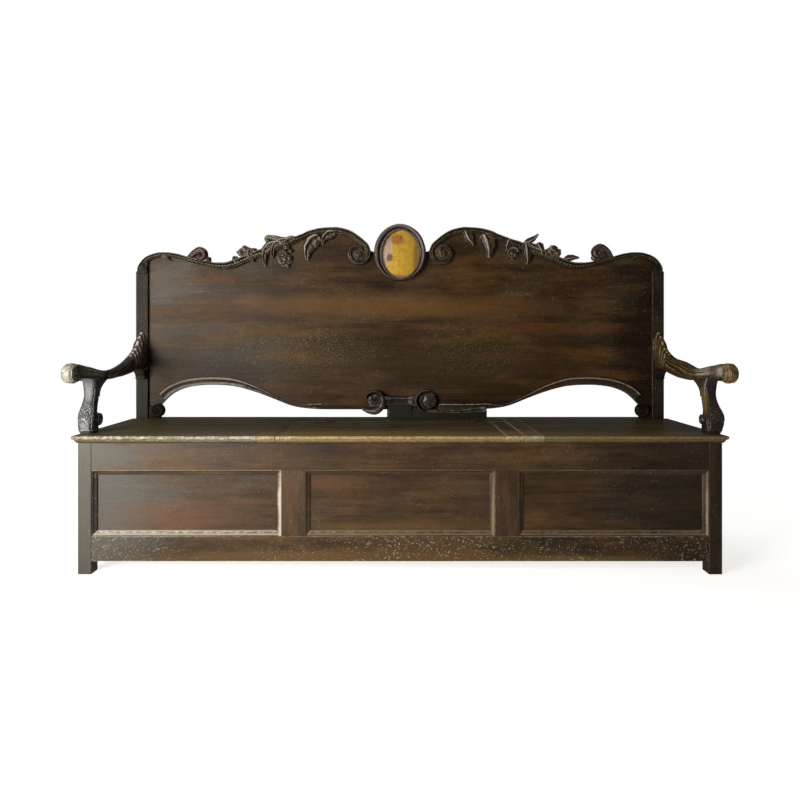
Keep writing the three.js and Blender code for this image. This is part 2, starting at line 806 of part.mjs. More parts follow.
function buildLid() {
  const recesses = [...hingeRecess(hingeX), ...hingeRecess(-hingeX)];
  const inner = -lidCleat[1] - fit;
  const x = [-inner, inner];
  const joint = frontLip + lidFrontDepth;
  const frontY = [frontLip, joint - fit / 2];
  const rearY = [joint + fit / 2, lidRear];
  const tongues = (y) => {
    const left = endTongue([lidCleat[1] - cleatTongue, -inner + overrun], y, lidTongue);
    return [left, mirrored(left)].map(block);
  };
  add("lid_board_front", joined(seatBoard(x, frontY, { front: true }), ...tongues(frontY)), wornWalnut);
  const rearWhole = joined(seatBoard(x, rearY), ...tongues(rearY));
  add("lid_board_rear", cut(rearWhole, ...recesses), wornWalnut);
  const groove = [[lidCleat[1] - cleatTongue, lidCleat[1] + overrun], lidTongue, tongueZ];
  const cleat = seatBoard(lidCleat, [frontLip, lidRear], { front: true });
  addPair("lid_cleat", cut(cleat, ...sockets([groove])), wornWalnut);
  const railX = [-lidHalf + fit, lidHalf - fit];
  const rail = block([railX, [hingeLine + hingeGap / 2, rearFace], [chestTop, seatHeight]]);
  add("hinge_rail", cut(rail, ...recesses), wornWalnut);
}

// One leaf: a plate let into the edge of the wood at y, and every other knuckle from the first one given.
function hingeLeaf(y, firstKnuckle) {
  const left = hingeX - hingeLength / 2;
  const step = hingeLength / knuckleCount;
  const spans = Array.from({ length: knuckleCount }, (_, i) => [left + i * step, left + (i + 1) * step]);
  const isOwn = (_, i) => i % 2 === firstKnuckle;
  const barrels = spans.filter(isOwn).map((x) => rod(knuckleRadius, x, hingeLine, pinHeight));
  const round = [
    [hingeLine - knuckleRadius, hingeLine + knuckleRadius],
    [pinHeight - knuckleRadius, pinHeight + knuckleRadius],
  ];
  const others = spans.filter((x, i) => !isOwn(x, i)).map((x) => [x, ...round]);
  const leafZ = [seatHeight - hingeLeafHeight, pinHeight - knuckleBore];
  const leaf = block([[left, left + hingeLength], y, leafZ]);
  const bore = rod(knuckleBore, [left - overrun, left + hingeLength + overrun], hingeLine, pinHeight);
  return cut(joined(leaf, ...barrels), ...sockets(others), bore);
}

function buildHinges() {
  const railSide = [hingeLine + fit / 2, hingeLine + fit / 2 + hingeLeafThickness];
  const lidSide = [hingeLine - fit / 2 - hingeLeafThickness, hingeLine - fit / 2];
  addPair("hinge_leaf_rail", hingeLeaf(railSide, 0), iron);
  addPair("hinge_leaf_lid", hingeLeaf(lidSide, 1), iron);
  const reach = hingeLength / 2 + pinStandout;
  addPair("hinge_pin", rod(pinRadius, [hingeX - reach, hingeX + reach], hingeLine, pinHeight), iron);
}

// Back

// A point of the crest, from its shares.
function crestPoint([along, up]) {
  return [-halfWidth + along * crestSpan, postHeight + up * crestRise];
}

// A point of the arch, from its shares.
function archPoint([along, up]) {
  return [-postInner + along * archSpan, seatHeight + up * archRise];
}

const crestEdge = smooth(crestShares.map(crestPoint), crestSteps);
const crestAcross = normals(crestEdge);
const crestMiddle = crestEdge.map(([x, z], i) => [
  x - (crestAcross[i][0] * crestBand) / 2,
  z - (crestAcross[i][1] * crestBand) / 2,
]);
const archEdge = smooth(archShares.map(archPoint), archSteps);
const archFlat = archEdge[archSteps][1];
const boardEdge = postInner + panelTongue - fit;

// A plate whose outline is given on the left, and is the same on the right.
function backBoard(half) {
  const right = half.map(([x, z]) => [-x, z]).reverse();
  return plate([...half, ...right], backFront, backRear);
}

function lowerBoard() {
  return backBoard([[-boardEdge, backJointHeight - fit / 2], [-boardEdge, archEdge[0][1]], ...archEdge]);
}

function upperBoard() {
  const corner = -postInner + fit;
  const underBand = crestMiddle.filter(([x]) => x > corner && x < -scrollEyeX);
  const behindScroll = scrollBackShares.map(([inward, up]) => [
    -scrollEyeX + inward * scrollRadius,
    scrollEyeZ + up * scrollRadius,
  ]);
  const quarter = medallionSides / 4;
  const behindRing = Array.from({ length: quarter }, (_, i) => {
    const angle = Math.PI - (i / quarter) * (Math.PI / 2);
    const across = (medallionWidth / 2 - plateBoardGap) * Math.cos(angle);
    return [across, medallionZ + (medallionHeight / 2 - plateBoardGap) * Math.sin(angle)];
  });
  return backBoard([
    [-boardEdge, backJointHeight + fit / 2],
    [-boardEdge, postHeight],
    [corner, postHeight],
    [corner, underBand[0][1]],
    ...underBand,
    ...behindScroll,
    ...behindRing,
  ]);
}

// The middle line of a crest's band: along the top edge, then round the scroll in to its eye.
function crestLine() {
  const spiral = Array.from({ length: scrollSteps }, (_, i) => {
    const turned = (i + 1) / scrollSteps;
    const angle = THREE.MathUtils.degToRad(scrollStart - turned * scrollTurn);
    const radius = scrollRadius * (1 - turned * (1 - scrollEndShare));
    return [-scrollEyeX + radius * Math.cos(angle), scrollEyeZ + radius * Math.sin(angle)];
  });
  return [...crestMiddle, ...spiral];
}

// A pointed leaf: a tapering band that bows to one side.
function crestLeaf([rootAlong, rootUp, tipAlong, tipUp, width]) {
  const root = crestPoint([rootAlong, rootUp]);
  const tip = crestPoint([tipAlong, tipUp]);
  const [dx, dz] = [tip[0] - root[0], tip[1] - root[1]];
  const line = leafWidthShares.map((_, i) => {
    const along = i / (leafWidthShares.length - 1);
    const bow = Math.sin(Math.PI * along) * leafBowShare;
    return [root[0] + dx * along + dz * bow, root[1] + dz * along - dx * bow];
  });
  const widths = leafWidthShares.map((share) => share * width * crestBand);
  return ribbon(line, widths, leafSectionShares, appliedBack - fit * 2, crestProud * leafDepthShare);
}

function crest() {
  const line = crestLine();
  const widths = line.map((_, i) => {
    const turned = Math.max(0, i - crestMiddle.length) / scrollSteps;
    return crestBand * (1 - turned * (1 - scrollTaperShare));
  });
  const band = ribbon(line, widths, bandShares, appliedBack, crestProud);
  const eyeY = [appliedBack - crestProud, appliedBack - fit];
  const eye = boss(scrollEyeRadius, eyeY, -scrollEyeX, scrollEyeZ);
  const curlY = [appliedBack - crestProud * curlDepthShare, appliedBack - fit];
  const curls = curlShares.map(([along, up, radius]) => {
    const [x, z] = crestPoint([along, up]);
    return boss(radius * crestBand, curlY, x, z);
  });
  const leaves = leafShares.map(crestLeaf);
  const inner = -postInner - fit;
  const foot = postHeight + fit;
  const overPost = crestMiddle.filter(([x]) => x < inner);
  const capital = plate(
    [
      [-halfWidth + crestBand / 2, foot],
      [inner, foot],
      [inner, overPost[overPost.length - 1][1]],
      ...overPost.slice(1).reverse(),
    ],
    appliedBack - crestProud * capitalDepthShare,
    backRear,
  );
  return joined(band, eye, capital, ...curls, ...leaves);
}

// An oval turning: [radius, y] points, with the radius along the medallion's height.
function oval(profile) {
  const points = profile.map((point) => new THREE.Vector2(...point));
  const geometry = new THREE.LatheGeometry(points, medallionSides);
  return solid(geometry.scale(medallionWidth / medallionHeight, 1, 1).translate(0, 0, medallionZ));
}

function buildMedallion() {
  const outer = medallionHeight / 2;
  const inner = outer - rimWidth;
  const plateRadius = inner + rimLip;
  const plateBack = appliedBack - fit;
  const plateFront = plateBack - plateThickness;
  const rim = rimShares.map(([inward, forward]) => [
    outer - inward * rimWidth,
    appliedBack - forward * rimProud,
  ]);
  const rebate = [
    [inner, plateFront - fit],
    [plateRadius + fit, plateFront - fit],
    [plateRadius + fit, appliedBack],
  ];
  add("medallion_ring", oval([...rim, ...rebate, rim[0]]), walnut);
  const domeRadius = inner - fit;
  const dome = domeShares.map(([radius, rise]) => [radius * domeRadius, plateFront - rise * plateDome]);
  const edge = [
    [0, plateBack],
    [plateRadius, plateBack],
    [plateRadius, plateFront],
    [domeRadius, plateFront],
  ];
  add("medallion_plate", oval([...edge, ...dome]), gilt);
}

// The range of a foot of the back, between the seat and the underside of the lower board.
function footRange(x, y, underside) {
  return [x, [y, backRear], [seatHeight + fit, underside - fit]];
}

// The scroll at the lower end of an arch, with the foot behind it, whose edge stands in the post's groove.
// The margin makes it larger all round, to cut its own place out of another piece.
function cornerScroll(margin = 0) {
  const [x, underside] = archEdge[0];
  const y = [appliedBack - cornerScrollProud - margin, appliedBack - fit + margin];
  const z = seatHeight + cornerScrollRise;
  const scroll = boss(cornerScrollRadius + margin, y, x - cornerScrollOut, z, scrollSides);
  const feet = [
    footRange([-boardEdge, x], backFront, underside),
    footRange([-postInner + fit, x], appliedBack - footProud, underside),
  ];
  return joined(scroll, ...feet.map((range) => block(grown(range, margin))));
}

function archMoulding() {
  const end = -(baseScrollSpread / 2 + baseScrollRadius + fit * 2);
  const line = [...archEdge, [end, archFlat]];
  const band = ribbon(line, line.map(() => archBandWidth), archBandShares, appliedBack, archBandProud);
  return cut(band, cornerScroll(fit));
}

function baseScroll() {
  const front = appliedBack - baseScrollProud;
  const floor = front + baseScrollHollow;
  const z = seatHeight + baseScrollRise;
  const wheels = [-baseScrollSpread / 2, baseScrollSpread / 2].map((x) => {
    const hollow = boss(baseScrollRadius - baseScrollRim, [front - overrun, floor], x, z, scrollSides);
    const eye = boss(baseScrollEye, [front - overrun, floor + overrun], x, z);
    return cut(boss(baseScrollRadius, [front, appliedBack], x, z, scrollSides), cut(hollow, eye));
  });
  const reach = baseScrollSpread / 2 - baseScrollRadius + baseScrollRim / 2;
  const bar = block([
    [-reach, reach],
    [appliedBack - baseBarProud, appliedBack - fit],
    [z - baseBarHeight / 2, z + baseBarHeight / 2],
  ]);
  const footX = [-centreFoot / 2, centreFoot / 2];
  const skirtX = [footX[0], skirtReach];
  const apron = block([
    [footX[0] + footProud, footX[1] - footProud],
    [appliedBack - apronProud, appliedBack],
    [seatHeight + fit, z],
  ]);
  return joined(...wheels, bar, apron, block(footRange(skirtX, appliedBack - footProud, archFlat)));
}

function buildBack() {
  add("back_board_lower", lowerBoard(), walnut);
  add("back_board_upper", upperBoard(), walnut);
  addPair("crest", crest(), walnut);
  buildMedallion();
  addPair("arch_moulding", archMoulding(), walnut);
  addPair("corner_scroll", cornerScroll(), walnut);
  add("base_scroll", baseScroll(), walnut);
}

// Arms

// The middle of the top of a left arm support, and its half sizes, in x and y.
function supportHead() {
  const [, outward, halfAcross, backward, halfDeep] = supportShares[supportShares.length - 1];
  return {
    x: -supportX - outward * supportSize,
    y: footY + backward * supportSize,
    half: [halfAcross * supportSize, halfDeep * supportSize],
  };
}

function armPeg() {
  const { x, y } = supportHead();
  return [
    [x - supportTenonSize / 2, x + supportTenonSize / 2],
    [y - supportTenonSize / 2, y + supportTenonSize / 2],
    [supportTop - overrun, supportTop + pegLength],
  ];
}

function arm() {
  const start = postFront - fit;
  const rings = armShares.map(([reach, top, bottom, half, outward]) => {
    const y = start - reach * (start - handY);
    const x = -(armX + (handX - armX) * outward);
    const z = handZ + ((top + bottom) / 2) * handRadius;
    return chamfered(half * handRadius, ((top - bottom) / 2) * handRadius).map(
      ([across, up]) => new THREE.Vector3(x + across, y, z + up),
    );
  });
  const hand = rod(handRadius, [-handX - handWidth / 2, -handX + handWidth / 2], handY, handZ, scrollSides);
  const { x, y, half } = supportHead();
  const pad = block([
    [x - half[0] - padMargin, x + half[0] + padMargin],
    [y - half[1] - padMargin, y + half[1] + padMargin],
    [supportTop + fit, handZ - handRadius / 2],
  ]);
  return cut(joined(loft(rings), hand, pad, block(armTenon)), ...sockets([armPeg()]));
}

function armSupport() {
  const foot = seatHeight + fit;
  const rings = supportShares.map(([up, outward, halfAcross, backward, halfDeep]) => {
    const x = -supportX - outward * supportSize;
    const y = footY + backward * supportSize;
    const z = foot + up * (supportTop - foot);
    return chamfered(halfAcross * supportSize, halfDeep * supportSize).map(
      ([across, along]) => new THREE.Vector3(x + across, y + along, z),
    );
  });
  const scrollX = [-supportX - supportScrollWidth / 2, -supportX + supportScrollWidth / 2];
  const scrollY = footY + supportScrollBack;
  const scroll = rod(supportScrollRadius, scrollX, scrollY, seatHeight + supportScrollRise);
  return joined(loft(rings), scroll, block(supportTenon), block(armPeg()));
}

function buildArms() {
  addPair("arm", arm(), wornWalnut);
  addPair("arm_support", armSupport(), wornWalnut);
}

buildChest();
buildFloor();
buildFixedSeats();
buildLid();
buildHinges();
buildBack();
buildArms();

export default settle;
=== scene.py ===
"""A carved box settle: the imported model, dressed with carving, old waxed walnut, gilding and iron.

Shapes are worked out in millimetres and put into their meshes in metres. Everything that comes in pairs is
worked out on the left, where x is negative, and mirrored for the right.
"""

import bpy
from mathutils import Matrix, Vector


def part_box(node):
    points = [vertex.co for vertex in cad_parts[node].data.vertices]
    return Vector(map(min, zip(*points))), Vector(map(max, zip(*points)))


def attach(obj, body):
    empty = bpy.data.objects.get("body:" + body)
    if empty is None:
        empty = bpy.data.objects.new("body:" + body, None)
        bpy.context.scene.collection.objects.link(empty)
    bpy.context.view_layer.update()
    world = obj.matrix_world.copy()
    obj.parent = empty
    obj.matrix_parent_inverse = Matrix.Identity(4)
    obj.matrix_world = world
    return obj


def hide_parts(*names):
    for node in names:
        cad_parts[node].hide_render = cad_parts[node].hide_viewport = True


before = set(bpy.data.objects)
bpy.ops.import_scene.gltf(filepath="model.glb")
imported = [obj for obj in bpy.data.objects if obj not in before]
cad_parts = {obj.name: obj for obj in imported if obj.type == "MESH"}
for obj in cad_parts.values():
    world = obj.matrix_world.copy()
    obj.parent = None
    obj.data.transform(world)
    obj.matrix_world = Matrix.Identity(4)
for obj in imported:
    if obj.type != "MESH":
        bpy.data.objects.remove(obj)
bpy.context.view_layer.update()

import logging
import math
import zlib
from dataclasses import dataclass, replace
from enum import Enum

import bmesh
import bpy
import numpy as np

Array = np.ndarray
Socket = bpy.types.NodeSocket
Point = tuple[float, float]
Box = tuple[Array, Array]

MM = 0.001
log = logging.getLogger("settle")

# Places that the carving shares with the joinery, in millimetres
HALF_WIDTH = 1042.0
POST_INNER = 996.0
POST_FRONT = 199.7
POST_TOP = 1030.0
SEAT_TOP = 450.0
BOARD_FACE = 211.7
BOARD_REAR = 234.0
CREST_RISE = 171.0
ARCH_RISE = 131.0
CENTRE_FOOT = 52.0
SCROLL_EYE = np.array([-167.5, 1101.0])
CARVING_DEPTH = 1.1  # a ridge this far above its surroundings is fully rubbed bare

CREST_SHARES = np.array([  # along, up: the crest's top edge, post to scroll
    [0.003, 0.01], [0.005, 0.055], [0.011, 0.13], [0.023, 0.216], [0.046, 0.333], [0.073, 0.403], [0.109, 0.437],
    [0.154, 0.437], [0.199, 0.392], [0.236, 0.333], [0.288, 0.263], [0.343, 0.216], [0.389, 0.207], [0.425, 0.24],
    [0.46, 0.31], [0.5, 0.398], [0.542, 0.48], [0.587, 0.561], [0.626, 0.643], [0.659, 0.702], [0.695, 0.755],
    [0.74, 0.84], [0.785, 0.933], [0.83, 0.982], [0.875, 1], [0.92, 0.991], [0.965, 0.933], [1.002, 0.8175],
    [1.025, 0.73],
])
ARCH_SHARES = np.array([  # along, up: the arched underside of the back, post to middle foot
    [0.047, 0.38], [0.066, 0.53], [0.099, 0.738], [0.152, 0.904], [0.219, 0.988], [0.29, 1], [0.365, 0.952],
    [0.445, 0.8], [0.525, 0.585], [0.592, 0.395], [0.64, 0.315], [0.7, 0.272], [0.77, 0.258],
])


# Shapes


def linear(text: str) -> tuple[float, ...]:
    """Turn an sRGB hex colour into linear red, green, blue and alpha.

    Args:
        text: The colour, such as "#46341f".

    Returns:
        The four linear values.
    """
    shares = np.array([int(text[i : i + 2], 16) for i in (1, 3, 5)]) / 255
    shares = np.where(shares <= 0.04045, shares / 12.92, ((shares + 0.055) / 1.055) ** 2.4)
    return (*map(float, shares), 1.0)


def eased(value: Array, low: float, high: float) -> Array:
    """Rise smoothly from 0 where the value is low to 1 where it is high: 3t squared less 2t cubed."""
    share = np.clip((value - low) / (high - low), 0, 1)
    return share * share * (3 - 2 * share)


def rounded(along: Array, start: float, end: float) -> Array:
    """Quarter circles that rise from 0 over the first share `start` and fall to 0 over the last share `end`.

    Args:
        along: Shares of the length.
        start: The share that the rise takes.
        end: The share that the fall takes.

    Returns:
        The rise and fall at each share.
    """
    rise = np.clip(along / start, 0, 1)
    fall = np.clip((1 - along) / end, 0, 1)
    return np.sqrt(rise * (2 - rise)) * np.sqrt(fall * (2 - fall))


def bell(off: Array, reach: float) -> Array:
    """A bell curve: 1 in the middle, and one part in e at the distance `reach`."""
    return np.exp(-((off / reach) ** 2))


def circle(count: int) -> Array:
    """Angles in even steps, once round."""
    return np.linspace(0, 2 * math.pi, count, endpoint=False)


def spiral(centre: Point, degrees: Array, reach: Array) -> Array:
    """Points in x and z round a centre, at a reach for each angle in degrees."""
    turn = np.radians(degrees)
    return np.array(centre) + reach[:, None] * np.stack([np.cos(turn), np.sin(turn)], axis=1)


def walled(grid: Array, foot: float | None = None) -> Array:
    """The grid with a row more, where a wall runs down from its rim: its last row again, or one of `foot`."""
    return np.vstack([grid, grid[-1:] if foot is None else np.full_like(grid[-1:], foot)])


def smooth_line(points: Array, count: int) -> Array:
    """Pass a Catmull-Rom curve through the points and take even steps along its length.

    Args:
        points: One row for each point, with any number of columns.
        count: How many points to return.

    Returns:
        The points of the curve.
    """
    padded = np.vstack([points[:1], points, points[-1:]])
    turn = np.linspace(0, len(points) - 1, count * 6)
    start = np.minimum(turn.astype(int), len(points) - 2)
    t = (turn - start)[:, None]
    a, b, c, d = (padded[start + i] for i in range(4))
    curve = (2 * b + (c - a) * t + (2 * a - 5 * b + 4 * c - d) * t**2 + (3 * b - a - 3 * c + d) * t**3) / 2
    length = np.append(0, np.cumsum(np.linalg.norm(np.diff(curve, axis=0), axis=1)))
    even = np.linspace(0, length[-1], count)
    return np.stack([np.interp(even, length, column) for column in curve.T], axis=1)


def normals(line: Array) -> Array:
    """Unit vectors across a line of (x, z) points, on its left-hand side.

    Args:
        line: The points.

    Returns:
        One vector for each point.
    """
    step = np.gradient(line, axis=0)
    step /= np.linalg.norm(step, axis=1, keepdims=True)
    return np.stack([-step[:, 1], step[:, 0]], axis=1)


def ripple(points: Array, size: float, seed: int) -> Array:
    """The unevenness of hand carving: sine waves in random directions, added up, with waves near `size` long.

    Args:
        points: Places in millimetres, in the last axis.
        size: Length of the waves in millimetres.
        seed: Picks the waves.

    Returns:
        One value for each place, mostly from -1 to 1.
    """
    waves = 12
    rng = np.random.default_rng(seed)
    heading = rng.normal(size=(waves, 3))
    heading /= np.linalg.norm(heading, axis=1, keepdims=True)
    pitch = 2 * math.pi / (size * rng.uniform(0.7, 1.7, waves))
    phase = rng.uniform(0, 2 * math.pi, waves)
    return np.sin(points @ (heading * pitch[:, None]).T + phase).sum(axis=-1) / math.sqrt(waves)


@dataclass(frozen=True)
class Skin:
    """A closed surface: rings of points that go round it, and how far each point stands proud of its ground."""

    points: Array
    relief: Array
    looped: bool = False  # the last ring joins the first
    walled: bool = False  # the first and last columns are walls, so the relief isn't compared across them

    def marks(self) -> tuple[Array, Array]:
        """How much each point is a rubbed ridge and how much a dirty hollow.

        The relief is compared with its own average over the neighbouring points.

        Returns:
            The wear and the recess of each point, from 0 to 1.
        """
        soft = self.relief
        for _ in range(4):
            wide = np.pad(soft, ((1, 1), (0, 0)), mode="wrap" if self.looped else "edge")
            wide = np.pad(wide, ((0, 0), (1, 1)), mode="edge" if self.walled else "wrap")
            soft = (wide[:-2, 1:-1] + wide[2:, 1:-1] + wide[1:-1, :-2] + wide[1:-1, 2:] + soft) / 5
        proud = (self.relief - soft) / CARVING_DEPTH
        return np.clip(proud, 0, 1), np.clip(-proud, 0, 1)

    def faces(self) -> tuple[Array, list[Array]]:
        """The quads between the rings and the caps of the two ends, turned so that they face outwards.

        Returns:
            The quads' corners, and the corners of each cap.
        """
        rings, columns = self.relief.shape
        index = np.arange(rings * columns).reshape(rings, columns)
        if self.looped:
            index = np.vstack([index, index[:1]])
        beside = np.roll(index, -1, axis=1)
        quads = np.stack([index[:-1], beside[:-1], beside[1:], index[1:]], axis=-1).reshape(-1, 4)
        caps = [] if self.looped else [index[0][::-1], index[-1]]
        flat = self.points.reshape(-1, 3) - self.points.reshape(-1, 3).mean(axis=0)
        corners = [flat[quads[:, [0, 1, 2]]], flat[quads[:, [0, 2, 3]]]]
        for cap in caps:
            middle = np.broadcast_to(flat[cap].mean(axis=0), (len(cap), 3))
            corners.append(np.stack([middle, flat[cap], flat[np.roll(cap, -1)]], axis=1))
        volume = np.linalg.det(np.concatenate(corners)).sum()
        if volume < 0:
            return quads[:, ::-1], [cap[::-1] for cap in caps]
        return quads, caps


class Side(Enum):
    """Which side a pair's piece is on, and what its x is multiplied by."""

    LEFT = 1.0
    RIGHT = -1.0

    @property
    def label(self) -> str:
        """The side's name, as pieces use it."""
        return self.name.lower()

    def placed(self, skins: list[Skin]) -> list[Skin]:
        """The skins, moved from the left to this side."""
        return [replace(skin, points=skin.points * (self.value, 1, 1)) for skin in skins]


def swept(
    line: Array, width: Array, over: Array, height: Array, back: float = BOARD_FACE, uneven: float = 0.0
) -> Skin:
    """Carry a carved section along a line on the face of a board.

    A point stands where the line's point, plus the line's normal times `over` half widths, says, and `height` in
    front of the depth `back`. Walls run down to that depth on both sides.

    Args:
        line: Points in x and z.
        width: The width of the section at each point.
        over: Places across the section, from -1 to 1.
        height: The section's height at each point and place.
        back: The depth that the carving stands on.
        uneven: How many millimetres the carver's hand strays.

    Returns:
        The closed skin.
    """
    across = normals(line)
    reach = np.pad(over[None, :] * width[:, None] / 2, ((0, 0), (1, 1)), mode="edge")
    x = line[:, :1] + across[:, :1] * reach
    z = line[:, 1:] + across[:, 1:] * reach
    relief = np.pad(height, ((0, 0), (1, 1)), mode="edge")
    stray = uneven * ripple(np.stack([x, relief, z], axis=-1), 28, 7)
    relief = np.maximum(relief + stray, 0.5)
    standing = relief.copy()
    standing[:, [0, -1]] = 0
    return Skin(np.stack([x, back - standing, z + stray / 2], axis=-1), relief, walled=True)


def disc_grid(rings: int, sides: int) -> tuple[Array, Array]:
    """Radius shares from 0 to 1 and angles round a circle, as two grids of the same shape."""
    return np.repeat(np.linspace(0, 1, rings)[:, None], sides, 1), np.repeat(circle(sides)[None, :], rings, 0)


def turned(centre: Point, radius: Array, height: Array, back: float = BOARD_FACE, squeeze: float = 1.0) -> Skin:
    """A round relief that faces forward: radius and height over a grid of radius shares and angles.

    Args:
        centre: Its middle in x and z.
        radius: The distance from the middle, pole to rim.
        height: How far each point stands in front of the depth `back`.
        back: The depth that the relief stands on, where a wall from the rim ends.
        squeeze: What the radius is multiplied by along x.

    Returns:
        The closed skin.
    """
    radius, angle = walled(radius), circle(radius.shape[1])[None, :]
    x = centre[0] + radius * np.cos(angle) * squeeze
    z = centre[1] + radius * np.sin(angle)
    return Skin(np.stack([x, back - walled(height, 0), z], axis=-1), walled(height))


def rolled(axis: Point, x: Array, radius: Array, relief: Array) -> Skin:
    """A piece turned about a line along x: x and radius over a grid of rings and angles.

    Args:
        axis: The line's y and z.
        x: The place of each point along the line.
        radius: Its distance from the line.
        relief: How far it stands proud.

    Returns:
        The closed skin.
    """
    angle = circle(radius.shape[1])[None, :]
    points = np.stack([x, axis[0] + radius * np.cos(angle), axis[1] + radius * np.sin(angle)], axis=-1)
    return Skin(points, relief)


def lofted(centres: Array, half: Array, axes: tuple[int, int], power: float, relief: Array) -> Skin:
    """Superellipses about a line of centres: cosine and sine of the angle to the power 2/`power`, signs kept.

    Args:
        centres: The middle of each ring.
        half: The two half sizes of each ring.
        axes: The two axes that the rings lie along.
        power: 2 for an ellipse, larger for squarer rings.
        relief: What is added to the half sizes at each ring and angle.

    Returns:
        The closed skin.
    """
    angle = circle(relief.shape[1])
    points = np.repeat(centres[:, None, :], relief.shape[1], axis=1)
    for axis, size, turn in zip(axes, half.T, (np.cos(angle), np.sin(angle))):
        points[..., axis] += (size[:, None] + relief) * np.sign(turn) * np.abs(turn) ** (2 / power)
    return Skin(points, relief)


def slab(low: Array, high: Array, round_share: float = 0.06) -> Skin:
    """A hand-cut block between two corners: squarish rings along z that draw in at both ends, a little uneven.

    Args:
        low: Its low corner.
        high: Its high corner.
        round_share: How far the ends draw in, as a share of its width.

    Returns:
        The closed skin.
    """
    low, high = np.array(low, float), np.array(high, float)
    share = np.array([0, 0, 0.02, 0.06, 0.35, 0.65, 0.94, 0.98, 1, 1])
    draw = np.array([0, 1 - 2 * round_share, 1 - round_share, 1, 1, 1, 1, 1 - round_share, 1 - 2 * round_share, 0])
    middle = (low + high) / 2
    centres = np.stack([np.full(10, middle[0]), np.full(10, middle[1]), low[2] + share * (high[2] - low[2])], axis=1)
    half = (high - low)[None, :2] / 2 * draw[:, None]
    return lofted(centres, half, (0, 1), 14, np.zeros((10, 48)))


def dome(centre: Point, radius: float, proud: float, back: float = BOARD_FACE, squeeze: float = 1.0) -> Skin:
    """A boss whose height follows a flattened quarter circle, and is never less than 0.5 of its middle.

    Args:
        centre: Its middle in x and z.
        radius: Its rim.
        proud: Its greatest height.
        back: The depth that it stands on.
        squeeze: What the radius is multiplied by along x.

    Returns:
        The closed skin.
    """
    share, angle = disc_grid(11, 40)
    height = proud * (0.5 + 0.5 * np.sqrt(1 - (share * 0.999) ** 2.2))
    x, z = centre[0] + radius * share * np.cos(angle), centre[1] + radius * share * np.sin(angle)
    place = np.stack([x, height, z], axis=-1)
    height = height + 0.02 * proud * ripple(place, 12, 17) * eased(share, 0.1, 0.5)
    rim = radius * (1 + 0.05 * np.cos(5 * angle + centre[0]) + 0.04 * np.cos(8 * angle + centre[1]))
    return turned(centre, share * rim, height, back, squeeze)


def cluster(centre: Point, half: Point, count: int, size: float, proud: float, seed: int) -> list[Skin]:
    """A bunch of small lumps, crinkled like an old rosette, over a low mound.

    The lumps stand on a spiral that turns by the golden angle from one to the next, at the square root of their
    share of the count.

    Args:
        centre: The middle of the bunch in x and z.
        half: Its half width and half height.
        count: How many lumps.
        size: The mean radius of a lump.
        proud: The height of the tallest one.
        seed: Picks their sizes.

    Returns:
        The skins of the mound and the lumps.
    """
    rng = np.random.default_rng(seed)
    turn = np.arange(count) * 2.39996
    reach = np.sqrt((np.arange(count) + 0.5) / count) * 0.82
    x = centre[0] + reach * np.cos(turn) * half[0]
    z = centre[1] + reach * np.sin(turn) * half[1]
    radii = size * rng.uniform(0.7, 1.25, count)
    rises = proud * (1 - 0.3 * reach) * rng.uniform(0.85, 1.0, count)
    mound = dome(centre, half[1] * 0.96, proud * 0.5, squeeze=half[0] / half[1])
    return [mound, *(dome(lump[:2], lump[2], lump[3]) for lump in zip(x, z, radii, rises))]


@dataclass(frozen=True)
class Leaf:
    """A pointed leaf that bows to one side, with a sharp ridge along it and a hollow beside the ridge."""

    name: str
    root: Point  # in x and z
    tip: Point
    width: float
    proud: float
    bow: float = 0.3  # as a share of its length
    ridge: float = -0.5  # where the ridge stands, from -1 to 1 across the leaf
    back: float = BOARD_FACE  # the depth that it stands on

    def skins(self) -> list[Skin]:
        """The leaf: its width follows a table of shares, times a small cosine for the lobes.

        Its height is a bell curve about the ridge over a body that falls away on both sides, less a bell curve for
        the hollow.

        Returns:
            The closed skins.
        """
        along = np.linspace(0, 1, 46)
        over = np.linspace(-1, 1, 21)[None, :]
        reach = np.subtract(self.tip, self.root)
        side = np.array([reach[1], -reach[0]])
        line = np.array(self.root) + along[:, None] * reach + np.sin(math.pi * along)[:, None] * self.bow * side
        shares = np.interp(along, [0, 0.14, 0.35, 0.55, 0.75, 0.9, 1], [0.35, 0.86, 1, 0.8, 0.5, 0.27, 0.06])
        lobes = 1 + 0.06 * np.cos(2 * math.pi * 3.5 * along)
        off = over - self.ridge
        edge = 0.26 * bell(off, 0.22) * (1 - 0.35 * along[:, None])
        body = 0.78 - 0.12 * off**2
        veins = 0.012 * np.sin(2 * math.pi * (4 * along[:, None] - 0.9 * np.abs(off)))
        height = np.clip(body + edge - 0.14 * bell(off - 0.5, 0.25) + veins, 0.16, 1.1)
        height = self.proud * height * rounded(along, 0.1, 0.2)[:, None]
        return [swept(line, self.width * shares * lobes, over[0], height, self.back, 0.35)]


